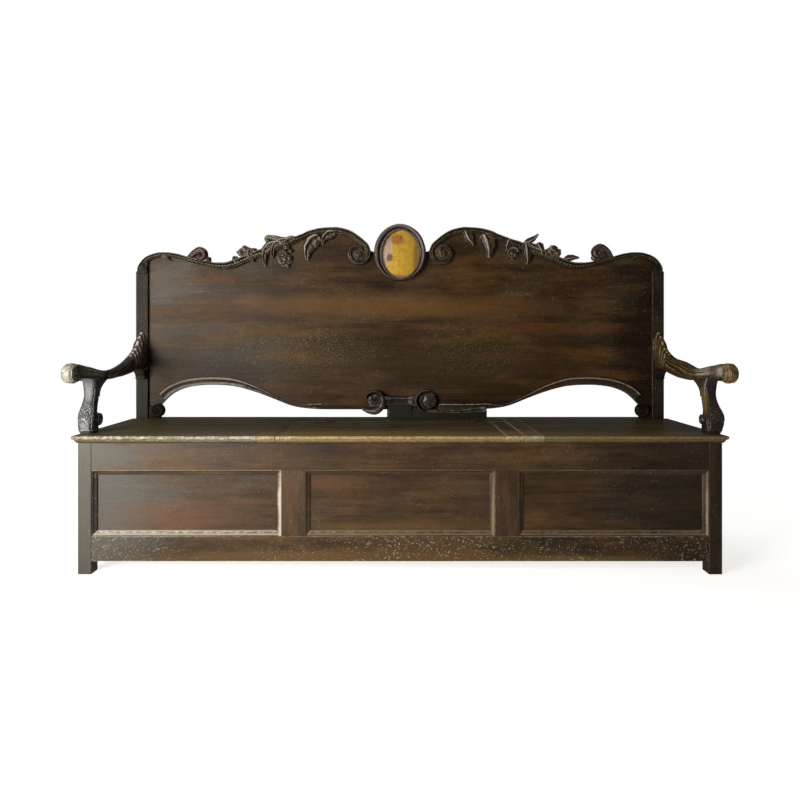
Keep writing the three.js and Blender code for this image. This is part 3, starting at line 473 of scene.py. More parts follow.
@dataclass(frozen=True)
class Curl:
    """A rolled leaf: a ridged band that runs from a thin tail into a spiral, over a ground, with a round eye."""

    name: str
    tail: Point
    centre: Point
    radius: float  # the spiral's first
    start: float  # its first angle in degrees
    turn: float  # how far it turns in degrees, with its sign
    width: float
    proud: float
    mounds: tuple[tuple[Point, float, float, float], ...] = ()  # middle, radius, height and squeeze
    shrink: float = 0.3  # the spiral's last radius as a share of its first

    def line(self) -> Array:
        """The tail, a cubic curve whose end follows the spiral's heading, and the evenly shrinking spiral.

        Returns:
            Points in x and z.
        """
        share = np.linspace(0, 1, 40)
        coil = spiral(self.centre, self.start + self.turn * share, self.radius * (1 - (1 - self.shrink) * share))
        start = math.radians(self.start)
        heading = math.copysign(1, self.turn) * np.array([-math.sin(start), math.cos(start)])
        first, last = np.array(self.tail, float), coil[0]
        near = first + (last - first) * 0.35
        far = last - heading * np.linalg.norm(last - first) * 0.45
        t = np.linspace(0, 1, 16)[:-1, None]
        run = first * (1 - t) ** 3 + 3 * near * t * (1 - t) ** 2 + 3 * far * t**2 * (1 - t) + last * t**3
        return smooth_line(np.vstack([run, coil[::3]]), 90)

    def skins(self) -> list[Skin]:
        """The band, a rounded section with a groove along it and shallow slanting cuts, its ground, eye and mounds.

        Returns:
            The closed skins.
        """
        line = self.line()
        along = np.linspace(0, 1, len(line))
        over = np.linspace(-1, 1, 17)
        wide = self.width * np.interp(along, [0, 0.2, 0.42, 0.75, 1], [0.5, 0.85, 1, 0.7, 0.4])
        section = 0.62 + 0.36 * np.cos(over * math.pi / 2) - 0.2 * bell(over + 0.3, 0.16)
        cuts = 0.015 * np.sin(2 * math.pi * (9 * along[:, None] + 0.6 * over[None, :]))
        rise = np.interp(along, [0, 0.3, 0.7, 1], [0.6, 0.9, 1, 0.86])[:, None]
        height = self.proud * (section[None, :] + cuts) * rise * rounded(along, 0.06, 0.05)[:, None]
        eye = tuple(np.add(self.centre, ripple(np.array([[*self.centre, 5]]), 9, 5)[0]))
        return [
            swept(line, wide, over, height, uneven=0.5),
            dome(self.centre, self.radius * 0.95, self.proud * 0.42),
            dome(eye, self.radius * 0.32, self.proud * 1.02),
            *(dome(at, radius, rise, squeeze=squeeze) for at, radius, rise, squeeze in self.mounds),
        ]


# Meshes


def meshed(name: str, skins: list[Skin]) -> bpy.types.Mesh:
    """Put skins into one mesh in metres, with the wear and the recess of each point as attributes.

    Args:
        name: The mesh's name.
        skins: The surfaces.

    Returns:
        The mesh.
    """
    loops: list[Array] = []
    sizes: list[Array] = []
    offset = 0
    for skin in skins:
        quads, caps = skin.faces()
        flat = skin.points.reshape(-1, 3)
        loops.append(quads.ravel() + offset)
        sizes.append(np.full(len(quads), 4))
        for cap in caps:
            if np.ptp(flat[cap], axis=0).max() > 0.01:
                loops.append(cap + offset)
                sizes.append(np.array([len(cap)]))
        offset += len(flat)
    sizes_flat = np.concatenate(sizes)
    mesh = bpy.data.meshes.new(name)
    mesh.vertices.add(offset)
    mesh.vertices.foreach_set("co", np.concatenate([s.points.reshape(-1, 3) for s in skins]).ravel() * MM)
    mesh.loops.add(int(sizes_flat.sum()))
    mesh.loops.foreach_set("vertex_index", np.concatenate(loops).astype(np.int32))
    mesh.polygons.add(len(sizes_flat))
    mesh.polygons.foreach_set("loop_start", (np.cumsum(sizes_flat) - sizes_flat).astype(np.int32))
    mesh.update(calc_edges=True)
    marks = [skin.marks() for skin in skins]
    for slot, key in enumerate(("wear", "recess")):
        layer = mesh.attributes.new(key, "FLOAT", "POINT")
        layer.data.foreach_set("value", np.concatenate([mark[slot].ravel() for mark in marks]).astype(np.float32))
    shell = bmesh.new()
    shell.from_mesh(mesh)
    bmesh.ops.remove_doubles(shell, verts=shell.verts, dist=0.02 * MM)
    bmesh.ops.dissolve_degenerate(shell, dist=0.01 * MM, edges=shell.edges)
    shell.to_mesh(mesh)
    shell.free()
    mesh.shade_smooth()
    mesh.set_sharp_from_angle(angle=math.radians(48))
    return mesh


def piece(
    name: str,
    skins: list[Skin],
    material: bpy.types.Material,
    slot: str,
    stands_for: tuple[str, ...] = (),
    body: str = "frame",
) -> bpy.types.Object:
    """Add a piece that rides on the frame or on the lid.

    Args:
        name: Its name.
        skins: Its surfaces.
        material: Its finish.
        slot: A material slot's name; not used.
        stands_for: The CAD nodes that it replaces.
        body: The body that it rides on.

    Returns:
        The new object.
    """
    made = bpy.data.objects.new(name, meshed(name, skins))
    made.data.materials.append(material)
    bpy.context.scene.collection.objects.link(made)
    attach(made, body)
    if stands_for:
        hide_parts(*stands_for)
    log.info("%s: %d faces", name, len(made.data.polygons))
    return made


# Finishes


class Kind(Enum):
    """A kind of node: its type, the inputs that its values fill in turn, the usual output, and its settings."""

    PLACE = ("ShaderNodeTexCoord", (), "Object", {})
    NORMAL = ("ShaderNodeNewGeometry", (), "Normal", {})
    CAMERA_RAY = ("ShaderNodeLightPath", (), "Is Camera Ray", {})
    MARK = ("ShaderNodeAttribute", (), "Fac", {})
    AXIS = ("ShaderNodeSeparateXYZ", (0,), 0, {})
    MAPPING = ("ShaderNodeMapping", ("Vector", "Location", "Scale"), 0, {})
    NOISE = ("ShaderNodeTexNoise", ("Vector", "Scale", "Detail", "Roughness"), 0, {})
    CELLS = ("ShaderNodeTexVoronoi", ("Vector", "Scale"), 0, {"feature": "DISTANCE_TO_EDGE"})
    MATH = ("ShaderNodeMath", (0, 1), 0, {})
    SUM = ("ShaderNodeMath", (0, 1, 2), 0, {"operation": "MULTIPLY_ADD"})  # the first times the second, plus the third
    VECTOR = ("ShaderNodeVectorMath", (0, 1, 2), 0, {})
    LENGTH = ("ShaderNodeVectorMath", (0,), "Value", {"operation": "LENGTH"})
    RANGE = ("ShaderNodeMapRange", (0, 1, 2, 3, 4), 0, {})  # value, from low and high, to low and high
    RAMP = ("ShaderNodeMapRange", (0, 1, 2, 3, 4), 0, {"interpolation_type": "SMOOTHSTEP"})
    BLEND = ("ShaderNodeMix", (0, 6, 7), 2, {"data_type": "RGBA"})  # share, lower colour, upper colour
    BUMP = ("ShaderNodeBump", ("Strength", "Distance", "Height"), 0, {})
    SHADER = ("ShaderNodeBsdfPrincipled", (), 0, {})
    GLOW = ("ShaderNodeBackground", ("Color", "Strength"), 0, {})
    SURFACE = ("ShaderNodeOutputMaterial", ("Surface",), 0, {})
    SURROUND = ("ShaderNodeOutputWorld", ("Surface",), 0, {})


class Nodes:
    """The node tree of a new material or world."""

    def __init__(self, owner: bpy.types.Material | bpy.types.World) -> None:
        """Switch the owner's nodes on and empty their tree.

        Args:
            owner: The material or world whose node tree is built.
        """
        owner.use_nodes = True
        self.owner, self.tree = owner, owner.node_tree
        self.tree.nodes.clear()

    def add(
        self, kind: Kind, *values: object, out: int | str | None = None, inputs: dict | None = None, **settings: str
    ) -> Socket:
        """Add a node.

        Args:
            kind: Its kind.
            *values: A value or a socket for each of the kind's inputs, or for the first few.
            out: The output that the caller wants, where it isn't the usual one.
            inputs: A value or a socket for other inputs, by name.
            **settings: The node's own properties.

        Returns:
            The output, or None for a node that has none.
        """
        name, order, usual, fixed = kind.value
        made = self.tree.nodes.new(name)
        for key, value in (fixed | settings).items():
            setattr(made, key, value)
        for key, value in (dict(zip(order, values)) | (inputs or {})).items():
            if isinstance(value, bpy.types.NodeSocket):
                self.tree.links.new(value, made.inputs[key])
            else:
                made.inputs[key].default_value = value
        return made.outputs[usual if out is None else out] if len(made.outputs) else None

    def shaded(self, inputs: dict[str, object], bump: tuple[float, float, Socket] | None = None) -> bpy.types.Material:
        """Add the shader and the output.

        Args:
            inputs: The shader's values and sockets by name.
            bump: The strength, depth in metres and height of a bump, or None for a flat surface.

        Returns:
            The finished material.
        """
        if bump:
            inputs = inputs | {"Normal": self.add(Kind.BUMP, *bump)}
        self.add(Kind.SURFACE, self.add(Kind.SHADER, inputs=inputs))
        return self.owner


class Grain(Enum):
    """The axis that the grain of a board runs along."""

    X = 0
    Y = 1
    Z = 2


@dataclass(frozen=True)
class Spot:
    """A place on a board with its own colour, or painted light and shade: an ellipsoid with soft, uneven edges, in mm.
    """

    centre: tuple[float, float, float]
    radii: tuple[float, float, float]
    tint: str
    strength: float

    def share(self, nodes: Nodes, bent: Socket, seen: dict[str, Socket]) -> Socket:
        """How much of the spot shows: the distance from its middle in radii, made uneven by two patterns.

        Args:
            nodes: The tree that the nodes go into.
            bent: The place on the object, swayed a little.
            seen: The noise patterns.

        Returns:
            The spot's share, from 0 to its strength.
        """
        scale = [1000 / radius for radius in self.radii]
        away = [-middle / radius for middle, radius in zip(self.centre, self.radii)]
        uneven = nodes.add(Kind.LENGTH, nodes.add(Kind.MAPPING, bent, away, scale))
        for key in ("streak", "patch"):
            uneven = nodes.add(Kind.SUM, seen[key], 0.9, uneven)
        return nodes.add(Kind.RAMP, uneven, 2.0, 1.3, 0.0, self.strength)


# Noise patterns: across the grain and along it in millimetres, and the noise's detail. The real pores are 0.2 mm
# wide, and are drawn 1.8 mm wide so that they show.
PATTERNS = {
    "figure": (46, 900, 3.0), "streak": (7, 260, 5.0), "pore": (1.8, 42, 2.0), "cloud": (240, 420, 3.0),
    "patch": (60, 300, 4.0), "chip": (9, 14, 3.0), "fleck": (5, 6.5, 2.5), "mottle": (26, 60, 4.0),
}
CREVICE = "#0b0705"  # soot and wax in the hollows of the carving
RELIEF = (("streak", 0.5), ("pore", 0.35), ("chip", 0.5), ("patch", 1.4))  # how deep each pattern cuts


@dataclass(frozen=True)
class WalnutFinish:
    """Old walnut, sawn, planed and carved by hand, oiled and waxed for generations.

    It gives the eye a near-black brown with streaks of honey and red along the grain, a grey film of old wax where
    light grazes it, dirt in the hollows, and bare pale wood where hands, shoes and brooms have rubbed the edges.
    Some finishes also carry painted light: a highlight with the dust on what faces up, shade along a nosing's lower
    edge, and sheen, highlights and shade in their spots.
    """

    deep: str = "#1a1009"
    mid: str = "#4b361d"
    warm: str = "#6e4f25"
    red: str = "#5e2f1a"
    film: str = "#5d5647"
    bare: str = "#c9b48e"
    # the pale colour of what faces up: dust, and a painted highlight
    dust: str = "#b9b1a0"
    warmth: float = 0.4
    redness: float = 0.3
    filming: float = 0.15
    edge: float = 3.0  # how far in from an arris the wear reaches
    rubbed: float = 0.6
    nosing: float = 0.0  # how worn the front of a seat board is; it also paints a shade along the nosing's lower edge
    flecks: float = 0.25
    fleck_level: float = 0.62  # the noise level above which a fleck shows
    dust_and_top_light_share: float = 0.0  # how much pale colour lies on what faces up: dust, and a painted highlight where light from above falls
    roughness: float = 0.42
    coat: float = 0.05
    specular: float = 0.28
    spots: tuple[Spot, ...] = ()
    crazed: tuple[Spot, ...] = ()  # where the varnish has cracked into a fine net

    def material(self, name: str, grain: Grain, box: Box | None = None) -> bpy.types.Material:
        """Build the nodes of an old walnut surface.

        Args:
            name: The material's name, which also picks its stretch of grain.
            grain: The way that the grain runs.
            box: The board's corners in metres, whose edges are worn, or None for a carving, whose wear and recess
                attributes say where.

        Returns:
            The material.
        """
        nodes = Nodes(bpy.data.materials.new(name))
        add = nodes.add
        shift = np.random.default_rng(zlib.crc32(name.encode())).uniform(-9, 9, 3)
        place = add(Kind.PLACE)
        sway = add(Kind.NOISE, place, 5.0, 2.0, out="Color")
        bent = add(Kind.VECTOR, sway, (0.022,) * 3, place, operation="MULTIPLY_ADD")
        seen = {}
        for key, (across, along, detail) in PATTERNS.items():
            scale = [1000 / across] * 3
            scale[grain.value] = 1000 / along
            seen[key] = add(Kind.NOISE, add(Kind.MAPPING, bent, shift, scale), 1.0, detail, 0.6)

        tone = add(Kind.SUM, seen["figure"], 0.6, add(Kind.SUM, seen["streak"], 0.5, 0.0))
        colour = add(Kind.BLEND, add(Kind.RAMP, tone, 0.28, 0.78), linear(self.deep), linear(self.mid))
        washes = [
            (add(Kind.RAMP, seen[key], low, high, 0.0, strength), tint)
            for key, low, high, tint, strength in (
                ("patch", 0.4, 0.75, self.warm, self.warmth),
                ("mottle", 0.45, 0.7, self.deep, 0.35),
                ("figure", 0.52, 0.75, self.red, self.redness),
                ("cloud", 0.46, 0.66, self.film, self.filming),
                ("pore", 0.56, 0.72, self.deep, 0.6),
            )
        ]
        washes += [(spot.share(nodes, bent, seen), spot.tint) for spot in self.spots]
        # pale on what faces up: partly dust, partly a painted highlight of the light from above
        if self.dust_and_top_light_share:
            facing = add(Kind.SUM, seen["chip"], 0.9, add(Kind.AXIS, add(Kind.NORMAL), out=Grain.Z.value))
            washes.append((add(Kind.RAMP, facing, 0.6, 1.1, 0.0, self.dust_and_top_light_share), self.dust))
        if box is None:
            hollow = add(Kind.MARK, attribute_name="recess")
            washes.append((add(Kind.RAMP, hollow, 0.02, 0.45, 0.0, 0.9), CREVICE))
        for spot in self.crazed:
            lines = add(Kind.RAMP, add(Kind.CELLS, bent, 110.0), 0.08, 0.01)
            washes.append((add(Kind.MATH, lines, spot.share(nodes, bent, seen), operation="MULTIPLY"), spot.tint))
        worn = self.worn(nodes, seen, place, box)
        washes.append((worn, self.bare))
        # painted shade: a dark line along the nosing's lower edge, where the rounded edge turns under
        if self.nosing:
            above = add(Kind.MATH, add(Kind.AXIS, place, out=Grain.Z.value), float(box[0][2]), operation="SUBTRACT")
            above = add(Kind.SUM, seen["chip"], 16 * MM, above)
            washes.append((add(Kind.RAMP, above, 17 * MM, 10 * MM, 0.0, 0.8), self.deep))
        for share, tint in washes:
            colour = add(Kind.BLEND, share, colour, linear(tint))

        rough = add(Kind.RANGE, seen["patch"], 0.3, 0.7, self.roughness - 0.07, self.roughness + 0.1)
        rough = add(Kind.SUM, worn, 0.15, rough)
        height = 0.0
        for source, share in (*((seen[key], share) for key, share in RELIEF), (worn, -0.5)):
            height = add(Kind.SUM, source, share, height)
        inputs = {
            "Base Color": colour, "Roughness": rough, "IOR": 1.5, "Specular IOR Level": self.specular,
            "Coat Weight": self.coat, "Coat Roughness": 0.25,
        }
        return nodes.shaded(inputs, (0.6, 1.2 * MM, height))

    def worn(self, nodes: Nodes, seen: dict[str, Socket], place: Socket, box: Box | None) -> Socket:
        """Where the wood is rubbed bare: along the arrises or on the ridges, on the nosing, and in scattered flecks.

        The distance to a board's nearest arris is the second smallest of its three distances to its box's faces.

        Args:
            nodes: The tree that the nodes go into.
            seen: The noise patterns.
            place: The place on the object.
            box: The board's corners in metres, or None for a carving.

        Returns:
            The bare share, from 0 to 1.
        """
        add = nodes.add
        if box is None:
            ridge = add(Kind.SUM, seen["chip"], 0.9, add(Kind.MARK, attribute_name="wear"))
            worn = add(Kind.RAMP, ridge, 0.55, 1.15, 0.0, self.rubbed)
        else:
            low, high = (np.array(corner) for corner in box)
            off = add(Kind.VECTOR, place, (low + high) / 2, operation="SUBTRACT")
            off = add(Kind.VECTOR, off, operation="ABSOLUTE")
            inside = add(Kind.VECTOR, (high - low) / 2, off, operation="SUBTRACT")
            x, y, z = (add(Kind.AXIS, inside, out=axis.value) for axis in Grain)
            other = add(Kind.MATH, add(Kind.MATH, x, y, operation="MAXIMUM"), z, operation="MINIMUM")
            arris = add(Kind.MATH, add(Kind.MATH, x, y, operation="MINIMUM"), other, operation="MAXIMUM")
            for key in ("patch", "chip"):
                arris = add(Kind.SUM, seen[key], self.edge * 1.5 * MM, arris)
            worn = add(Kind.RAMP, arris, self.edge * 2.2 * MM, self.edge * 0.9 * MM, 0.0, self.rubbed)
        if self.nosing:
            front = add(Kind.MATH, add(Kind.AXIS, place, out=Grain.Y.value), float(box[0][1]), operation="SUBTRACT")
            for key, reach in (("patch", 15), ("chip", 45), ("fleck", 45)):
                front = add(Kind.SUM, seen[key], reach * MM, front)
            front = add(Kind.RAMP, front, 60 * MM, 47 * MM, 0.0, self.nosing)
            worn = add(Kind.MATH, worn, front, operation="MAXIMUM")
        field = add(Kind.RAMP, seen["cloud"], 0.3, 0.6, 0.0, self.flecks)
        flecks = add(Kind.RAMP, seen["fleck"], self.fleck_level, self.fleck_level + 0.07)
        flecks = add(Kind.MATH, flecks, field, operation="MULTIPLY")
        return add(Kind.MATH, worn, flecks, operation="MAXIMUM")


@dataclass(frozen=True)
class Gilding:
    """Water gilding over red clay on a domed boss, three hundred years old.

    It gives the eye a soft butter gold that has gone matt, clay where the leaf is rubbed through, bare grey gesso
    at one edge, a dark run of damp, and fine cracks.
    """

    gold: str = "#ba8d1e"
    light: str = "#d2b13a"
    clay: str = "#96562a"
    shade: str = "#7c6522"
    gesso: str = "#b59f92"
    damp: str = "#4a3030"
    metallic: float = 0.3
    roughness: float = 0.42

    def material(self, name: str, centre: tuple[float, float, float]) -> bpy.types.Material:
        """Build the gilding's nodes.

        Args:
            name: The material's name.
            centre: The boss's centre in metres, which the stains are placed from.

        Returns:
            The material.
        """
        nodes = Nodes(bpy.data.materials.new(name))
        add = nodes.add
        local = add(Kind.MAPPING, add(Kind.PLACE), [-c for c in centre])
        wide, small, fine = (add(Kind.NOISE, local, 1000 / size, 4.0, 0.6) for size in (34, 11, 3))
        colour = add(Kind.BLEND, small, linear(self.gold), linear(self.light))
        stains = (  # middle and radii in millimetres, colour and strength
            ((66, -10), (18, 70), self.shade, 0.7),
            ((0, -92), (70, 16), self.clay, 0.6),
            ((-12, 58), (30, 24), self.clay, 0.8),
            ((-62, 24), (34, 74), self.gesso, 0.9),
            ((-42, -14), (14, 18), self.damp, 0.85),
        )
        for (x, z), (half, tall), tint, strength in stains:
            moved = add(Kind.VECTOR, local, (x * MM, 0, z * MM), operation="SUBTRACT")
            away = add(Kind.LENGTH, add(Kind.MAPPING, moved, (0, 0, 0), (1000 / half, 0, 1000 / tall)))
            share = add(Kind.RAMP, add(Kind.SUM, small, 1.1, away), 1.7, 1.1, 0.0, strength)
            colour = add(Kind.BLEND, share, colour, linear(tint))
        cracks = add(Kind.RANGE, add(Kind.CELLS, local, 150.0), 0.06, 0.0, 0.0, 0.5)
        colour = add(Kind.BLEND, cracks, colour, linear(self.clay))
        rough = add(Kind.RANGE, small, 0.0, 1.0, self.roughness - 0.1, self.roughness + 0.2)
        height = add(Kind.SUM, fine, 0.4, add(Kind.SUM, cracks, -0.8, wide))
        inputs = {"Base Color": colour, "Metallic": self.metallic, "Roughness": rough}
        return nodes.shaded(inputs, (0.7, 1.5 * MM, height))


@dataclass(frozen=True)
class ForgedIron:
    """Wrought iron beaten by hand and blackened, with a bloom of rust: dull, pitted and dark brown-grey."""

    bright: str = "#4b4541"
    dark: str = "#211c19"
    rust: str = "#5a3521"

    def material(self, name: str) -> bpy.types.Material:
        """Build the iron's nodes.

        Args:
            name: The material's name.

        Returns:
            The material.
        """
        nodes = Nodes(bpy.data.materials.new(name))
        add = nodes.add
        place = add(Kind.PLACE)
        beaten, pitted = (add(Kind.NOISE, place, 1000 / size, 5.0) for size in (14, 2.5))
        rust = add(Kind.RANGE, beaten, 0.5, 0.66)
        colour = add(Kind.BLEND, pitted, linear(self.dark), linear(self.bright))
        inputs = {
            "Base Color": add(Kind.BLEND, rust, colour, linear(self.rust)),
            "Metallic": add(Kind.RANGE, rust, 0.0, 1.0, 0.9, 0.1),
            "Roughness": add(Kind.RANGE, pitted, 0.0, 1.0, 0.45, 0.8),
        }
        return nodes.shaded(inputs, (0.8, 1 * MM, add(Kind.SUM, pitted, 0.4, beaten)))


PAINTED_SHEEN_LEFT = Spot((-1060, -225, 240), (330, 400, 420), "#484a46", 0.75)  # painted sheen: the left end greyed where the window's light glances off the wax
# painted shade: the right end darkened, away from the window
PAINTED_SHADE_RIGHT = Spot((1100, -225, 240), (600, 400, 460), "#17110b", 0.62)
PANEL = WalnutFinish(edge=0.5, rubbed=0.0, flecks=0.16, bare="#a89c84", spots=(PAINTED_SHADE_RIGHT,))
PANEL_LEFT = replace(PANEL, spots=(PAINTED_SHEEN_LEFT, Spot((-700, -217, 200), (260, 300, 50), "#5c4130", 0.3)))
PANEL_CENTRE = replace(
    PANEL,
    spots=(
        Spot((-155, -217, 258), (70, 300, 25), "#5a2f1c", 0.3),
        Spot((0, -217, 155), (320, 300, 25), "#6b5228", 0.4),
    ),
)
FRAMING = WalnutFinish(edge=2.2, rubbed=0.6, flecks=0.16, bare="#b7ac95", spots=(PAINTED_SHEEN_LEFT, PAINTED_SHADE_RIGHT))
POST_LEFT = replace(
    FRAMING, deep="#100e0a", mid="#262419", warm="#322f20", film="#3a382f", redness=0.1, rubbed=0.3, specular=0.08,
    # painted shade: the spot darkens the post's face behind the arm and its support
    coat=0.0, spots=(Spot((-1019, 205, 560), (70, 60, 150), "#191a16", 0.85),),
)
POST_RIGHT = replace(
    FRAMING, mid="#261c18", warm="#32251c", redness=0.05, specular=0.12, coat=0.0,
    # painted highlight: a pale line down the post's inner edge, which catches the window's light
    spots=(Spot((994, 199, 760), (4, 12, 280), "#b9b2a6", 0.9),),
)
LOW_RAIL = replace(
    FRAMING, flecks=0.9, fleck_level=0.6, bare="#b5aa92", warmth=0.6, edge=4.5, rubbed=0.8,
    spots=(
        PAINTED_SHEEN_LEFT,
        PAINTED_SHADE_RIGHT,
        Spot((-100, -232, 60), (700, 300, 34), "#5f4822", 0.7),
        Spot((600, -232, 52), (330, 300, 24), "#6e5c33", 0.55),
    ),
)
MOULDING_LEFT = WalnutFinish(
    edge=2.5, rubbed=0.3, flecks=0.5, bare="#a59b88", dust="#bcb6a8", dust_and_top_light_share=0.7, specular=0.4,
    spots=(
        # painted highlight: the right stick, which faces the window, made pale
        Spot((-375, -218, 200), (12, 30, 190), "#b7b1a3", 0.95),
        # painted shade: the left stick, which faces away from the window, made near black
        Spot((-985, -218, 240), (26, 30, 190), "#15130f", 0.9),
    ),
)
MOULDING_CENTRE = replace(
    # painted highlight on the right stick, which faces the window
    MOULDING_LEFT, dust="#94856a", dust_and_top_light_share=0.6, spots=(Spot((317, -218, 200), (7, 30, 190), "#8f8266", 0.6),)
)
MOULDING_RIGHT = replace(
    # painted highlight on the right stick, which faces the window
    MOULDING_CENTRE, dust_and_top_light_share=0.5, spots=(Spot((1010, -218, 190), (7, 30, 190), "#a09684", 0.75),)
)
BACK = WalnutFinish(
    mid="#402f1a", edge=0.8, rubbed=0.2, flecks=0.16, specular=0.14, coat=0.0,
    spots=(
        Spot((-120, 218, 905), (640, 16, 62), "#67492a", 0.55),
        Spot((60, 218, 900), (360, 16, 56), "#654a25", 0.4),
        Spot((330, 218, 900), (420, 16, 50), "#5f401e", 0.45),
        Spot((-740, 218, 610), (340, 16, 175), "#1e1a14", 0.8),
        # painted shade: the far right of the back darkened, away from the window
        Spot((1000, 218, 800), (220, 16, 500), "#130e09", 0.75),
        # painted sheen: the top left of the back greyed where the window's light glances off
        Spot((-900, 218, 1000), (170, 16, 110), "#504e48", 0.65),
        Spot((200, 218, 660), (760, 16, 130), "#2c2417", 0.6),
        # painted shade: a dark band along the back's lower edge, where the gap over the seat lies in shadow
        Spot((150, 218, 500), (420, 16, 40), "#1d1610", 0.9),
        Spot((-975, 218, 520), (110, 16, 130), "#1a1814", 0.9),
    ),
    crazed=(
        Spot((-330, 218, 740), (330, 16, 130), "#7d6c48", 0.5),
        Spot((340, 218, 740), (340, 16, 150), "#6f5f3d", 0.5),
    ),
)
SEAT = WalnutFinish(
    deep="#261c10", mid="#655838", warm="#7a6b45", redness=0.15, edge=2.6, rubbed=0.55, roughness=0.36, coat=0.15,
    flecks=0.4,
)
SEAT_LEFT = replace(SEAT, spots=(Spot((-960, 30, 450), (170, 260, 40), "#67613f", 0.6),))
FRONT_RUB = Spot((0, -250, 450), (1400, 170, 60), "#84734a", 0.6)  # where sitters slide off
NOSING_LEFT = replace(
    SEAT_LEFT, nosing=0.85, edge=3.4, rubbed=0.75, bare="#b5ae9b",
    spots=(replace(FRONT_RUB, tint="#77715b"), *SEAT_LEFT.spots),
)
NOSING_LID = replace(SEAT, nosing=0.9, bare="#ab9368", spots=(replace(FRONT_RUB, tint="#8f7b4e", strength=0.8),))
NOSING_RIGHT = replace(SEAT, nosing=0.55, bare="#93784c", spots=(replace(FRONT_RUB, strength=0.5),))
CLEAT_DARK = replace(NOSING_LID, edge=1.4, rubbed=0.3, bare="#b8aa8c")
CLEAT_PALE = replace(NOSING_LID, edge=11.0, rubbed=1.0, nosing=0.4, bare="#dccdac")
CARVING = WalnutFinish(
    deep="#150f0a", mid="#3a2a19", bare="#a39a8a", warmth=0.35, redness=0.35, filming=0.1, rubbed=0.8, flecks=0.2,
    roughness=0.36, coat=0.15, specular=0.4,
)
BAND = replace(CARVING, mid="#30281a", warm="#3d3320", redness=0.15, bare="#82765c", rubbed=0.45)
RUSSET = replace(CARVING, mid="#38211a", warm="#47291c", bare="#77604e", rubbed=0.6)
STONY = replace(CARVING, mid="#34302b", warm="#413a31", redness=0.1, bare="#857d76", rubbed=0.65, flecks=0.35)
RING = replace(CARVING, deep="#140e0d", mid="#2f2220", warm="#3b2a24", bare="#7a6a66", rubbed=0.5)
FOOT = replace(CARVING, deep="#100e09", mid="#252117", warm="#2e291b", bare="#6a6056", rubbed=0.5)
CORNER = replace(
    FOOT, deep="#0c0b07", mid="#1c1b13", bare="#403e31", rubbed=0.4, roughness=0.6, coat=0.0, specular=0.12
)
ARM_LEFT = replace(CARVING, mid="#292417", warm="#342e1c", redness=0.15, bare="#8f8971")
ARM_RIGHT = replace(CARVING, mid="#4a3b1f", redness=0.15, bare="#a98f56")
HAND_LEFT = replace(
    CARVING, deep="#716c62", mid="#aaa69b", warm="#999283", redness=0.0, bare="#dedbd2",
    # painted shade: the hand's inner end, which faces away from the window, made near black
    spots=(Spot((-1043, -206, 649), (10, 60, 60), "#21160f", 0.95),),
)
HAND_RIGHT = replace(
    CARVING, deep="#4a3b1e", mid="#7f6b3c", warm="#8c7744", redness=0.0, bare="#cdb686",
    spots=(Spot((1050, -206, 649), (10, 60, 60), "#57421f", 0.8),),
)
LEAF_LEFT = replace(CARVING, mid="#5c574c", bare="#d2cdc2", rubbed=0.95)
LEAF_RIGHT = replace(CARVING, mid="#5a4823", warm="#6d592c", redness=0.1, bare="#c2a673", rubbed=0.9)
# Its blue-grey colours are partly a painted sheen of the window on the support's glossy front, over dark carved wood.
SUPPORT_LEFT = replace(
    CARVING, deep="#16181a", mid="#45494c", warm="#53524d", redness=0.1, bare="#c6cbd0", flecks=0.5,
    # painted shade: the support's inner side, which faces away from the window, darkened
    spots=(Spot((-984, -180, 530), (12, 60, 140), "#1f1813", 0.9),),
)
SUPPORT_RIGHT = replace(
    CARVING, mid="#2b1f22", warm="#33262a", bare="#83776a", rubbed=0.5,
    # painted highlight: the support's inner side, which faces the window, made golden
    spots=(Spot((1006, -190, 530), (13, 60, 120), "#6d5a2c", 0.85),),
)
DRY = WalnutFinish(  # oak left bare inside: never waxed, so grey, matt and open-grained
    deep="#4c3c2c", mid="#7a6349", warm="#86693f", red="#6d4a33", film="#8d8272", bare="#9a8568", redness=0.15,
    filming=0.4, rubbed=0.3, flecks=0.1, roughness=0.72, coat=0.0,
)


# The settle's sub-assemblies


def soften(board: bpy.types.Object, arris: float) -> None:
    """Join the loose triangles of a CAD node and round its sharp edges, with modifiers alone.

    Args:
        board: The CAD node.
        arris: The width of the rounding in millimetres.
    """
    board.modifiers.new("joined", "WELD").merge_threshold = 0.005 * MM
    bevel = board.modifiers.new("arris", "BEVEL")
    bevel.width = arris * MM
    bevel.segments = 2
    bevel.limit_method = "ANGLE"
    bevel.angle_limit = math.radians(32)


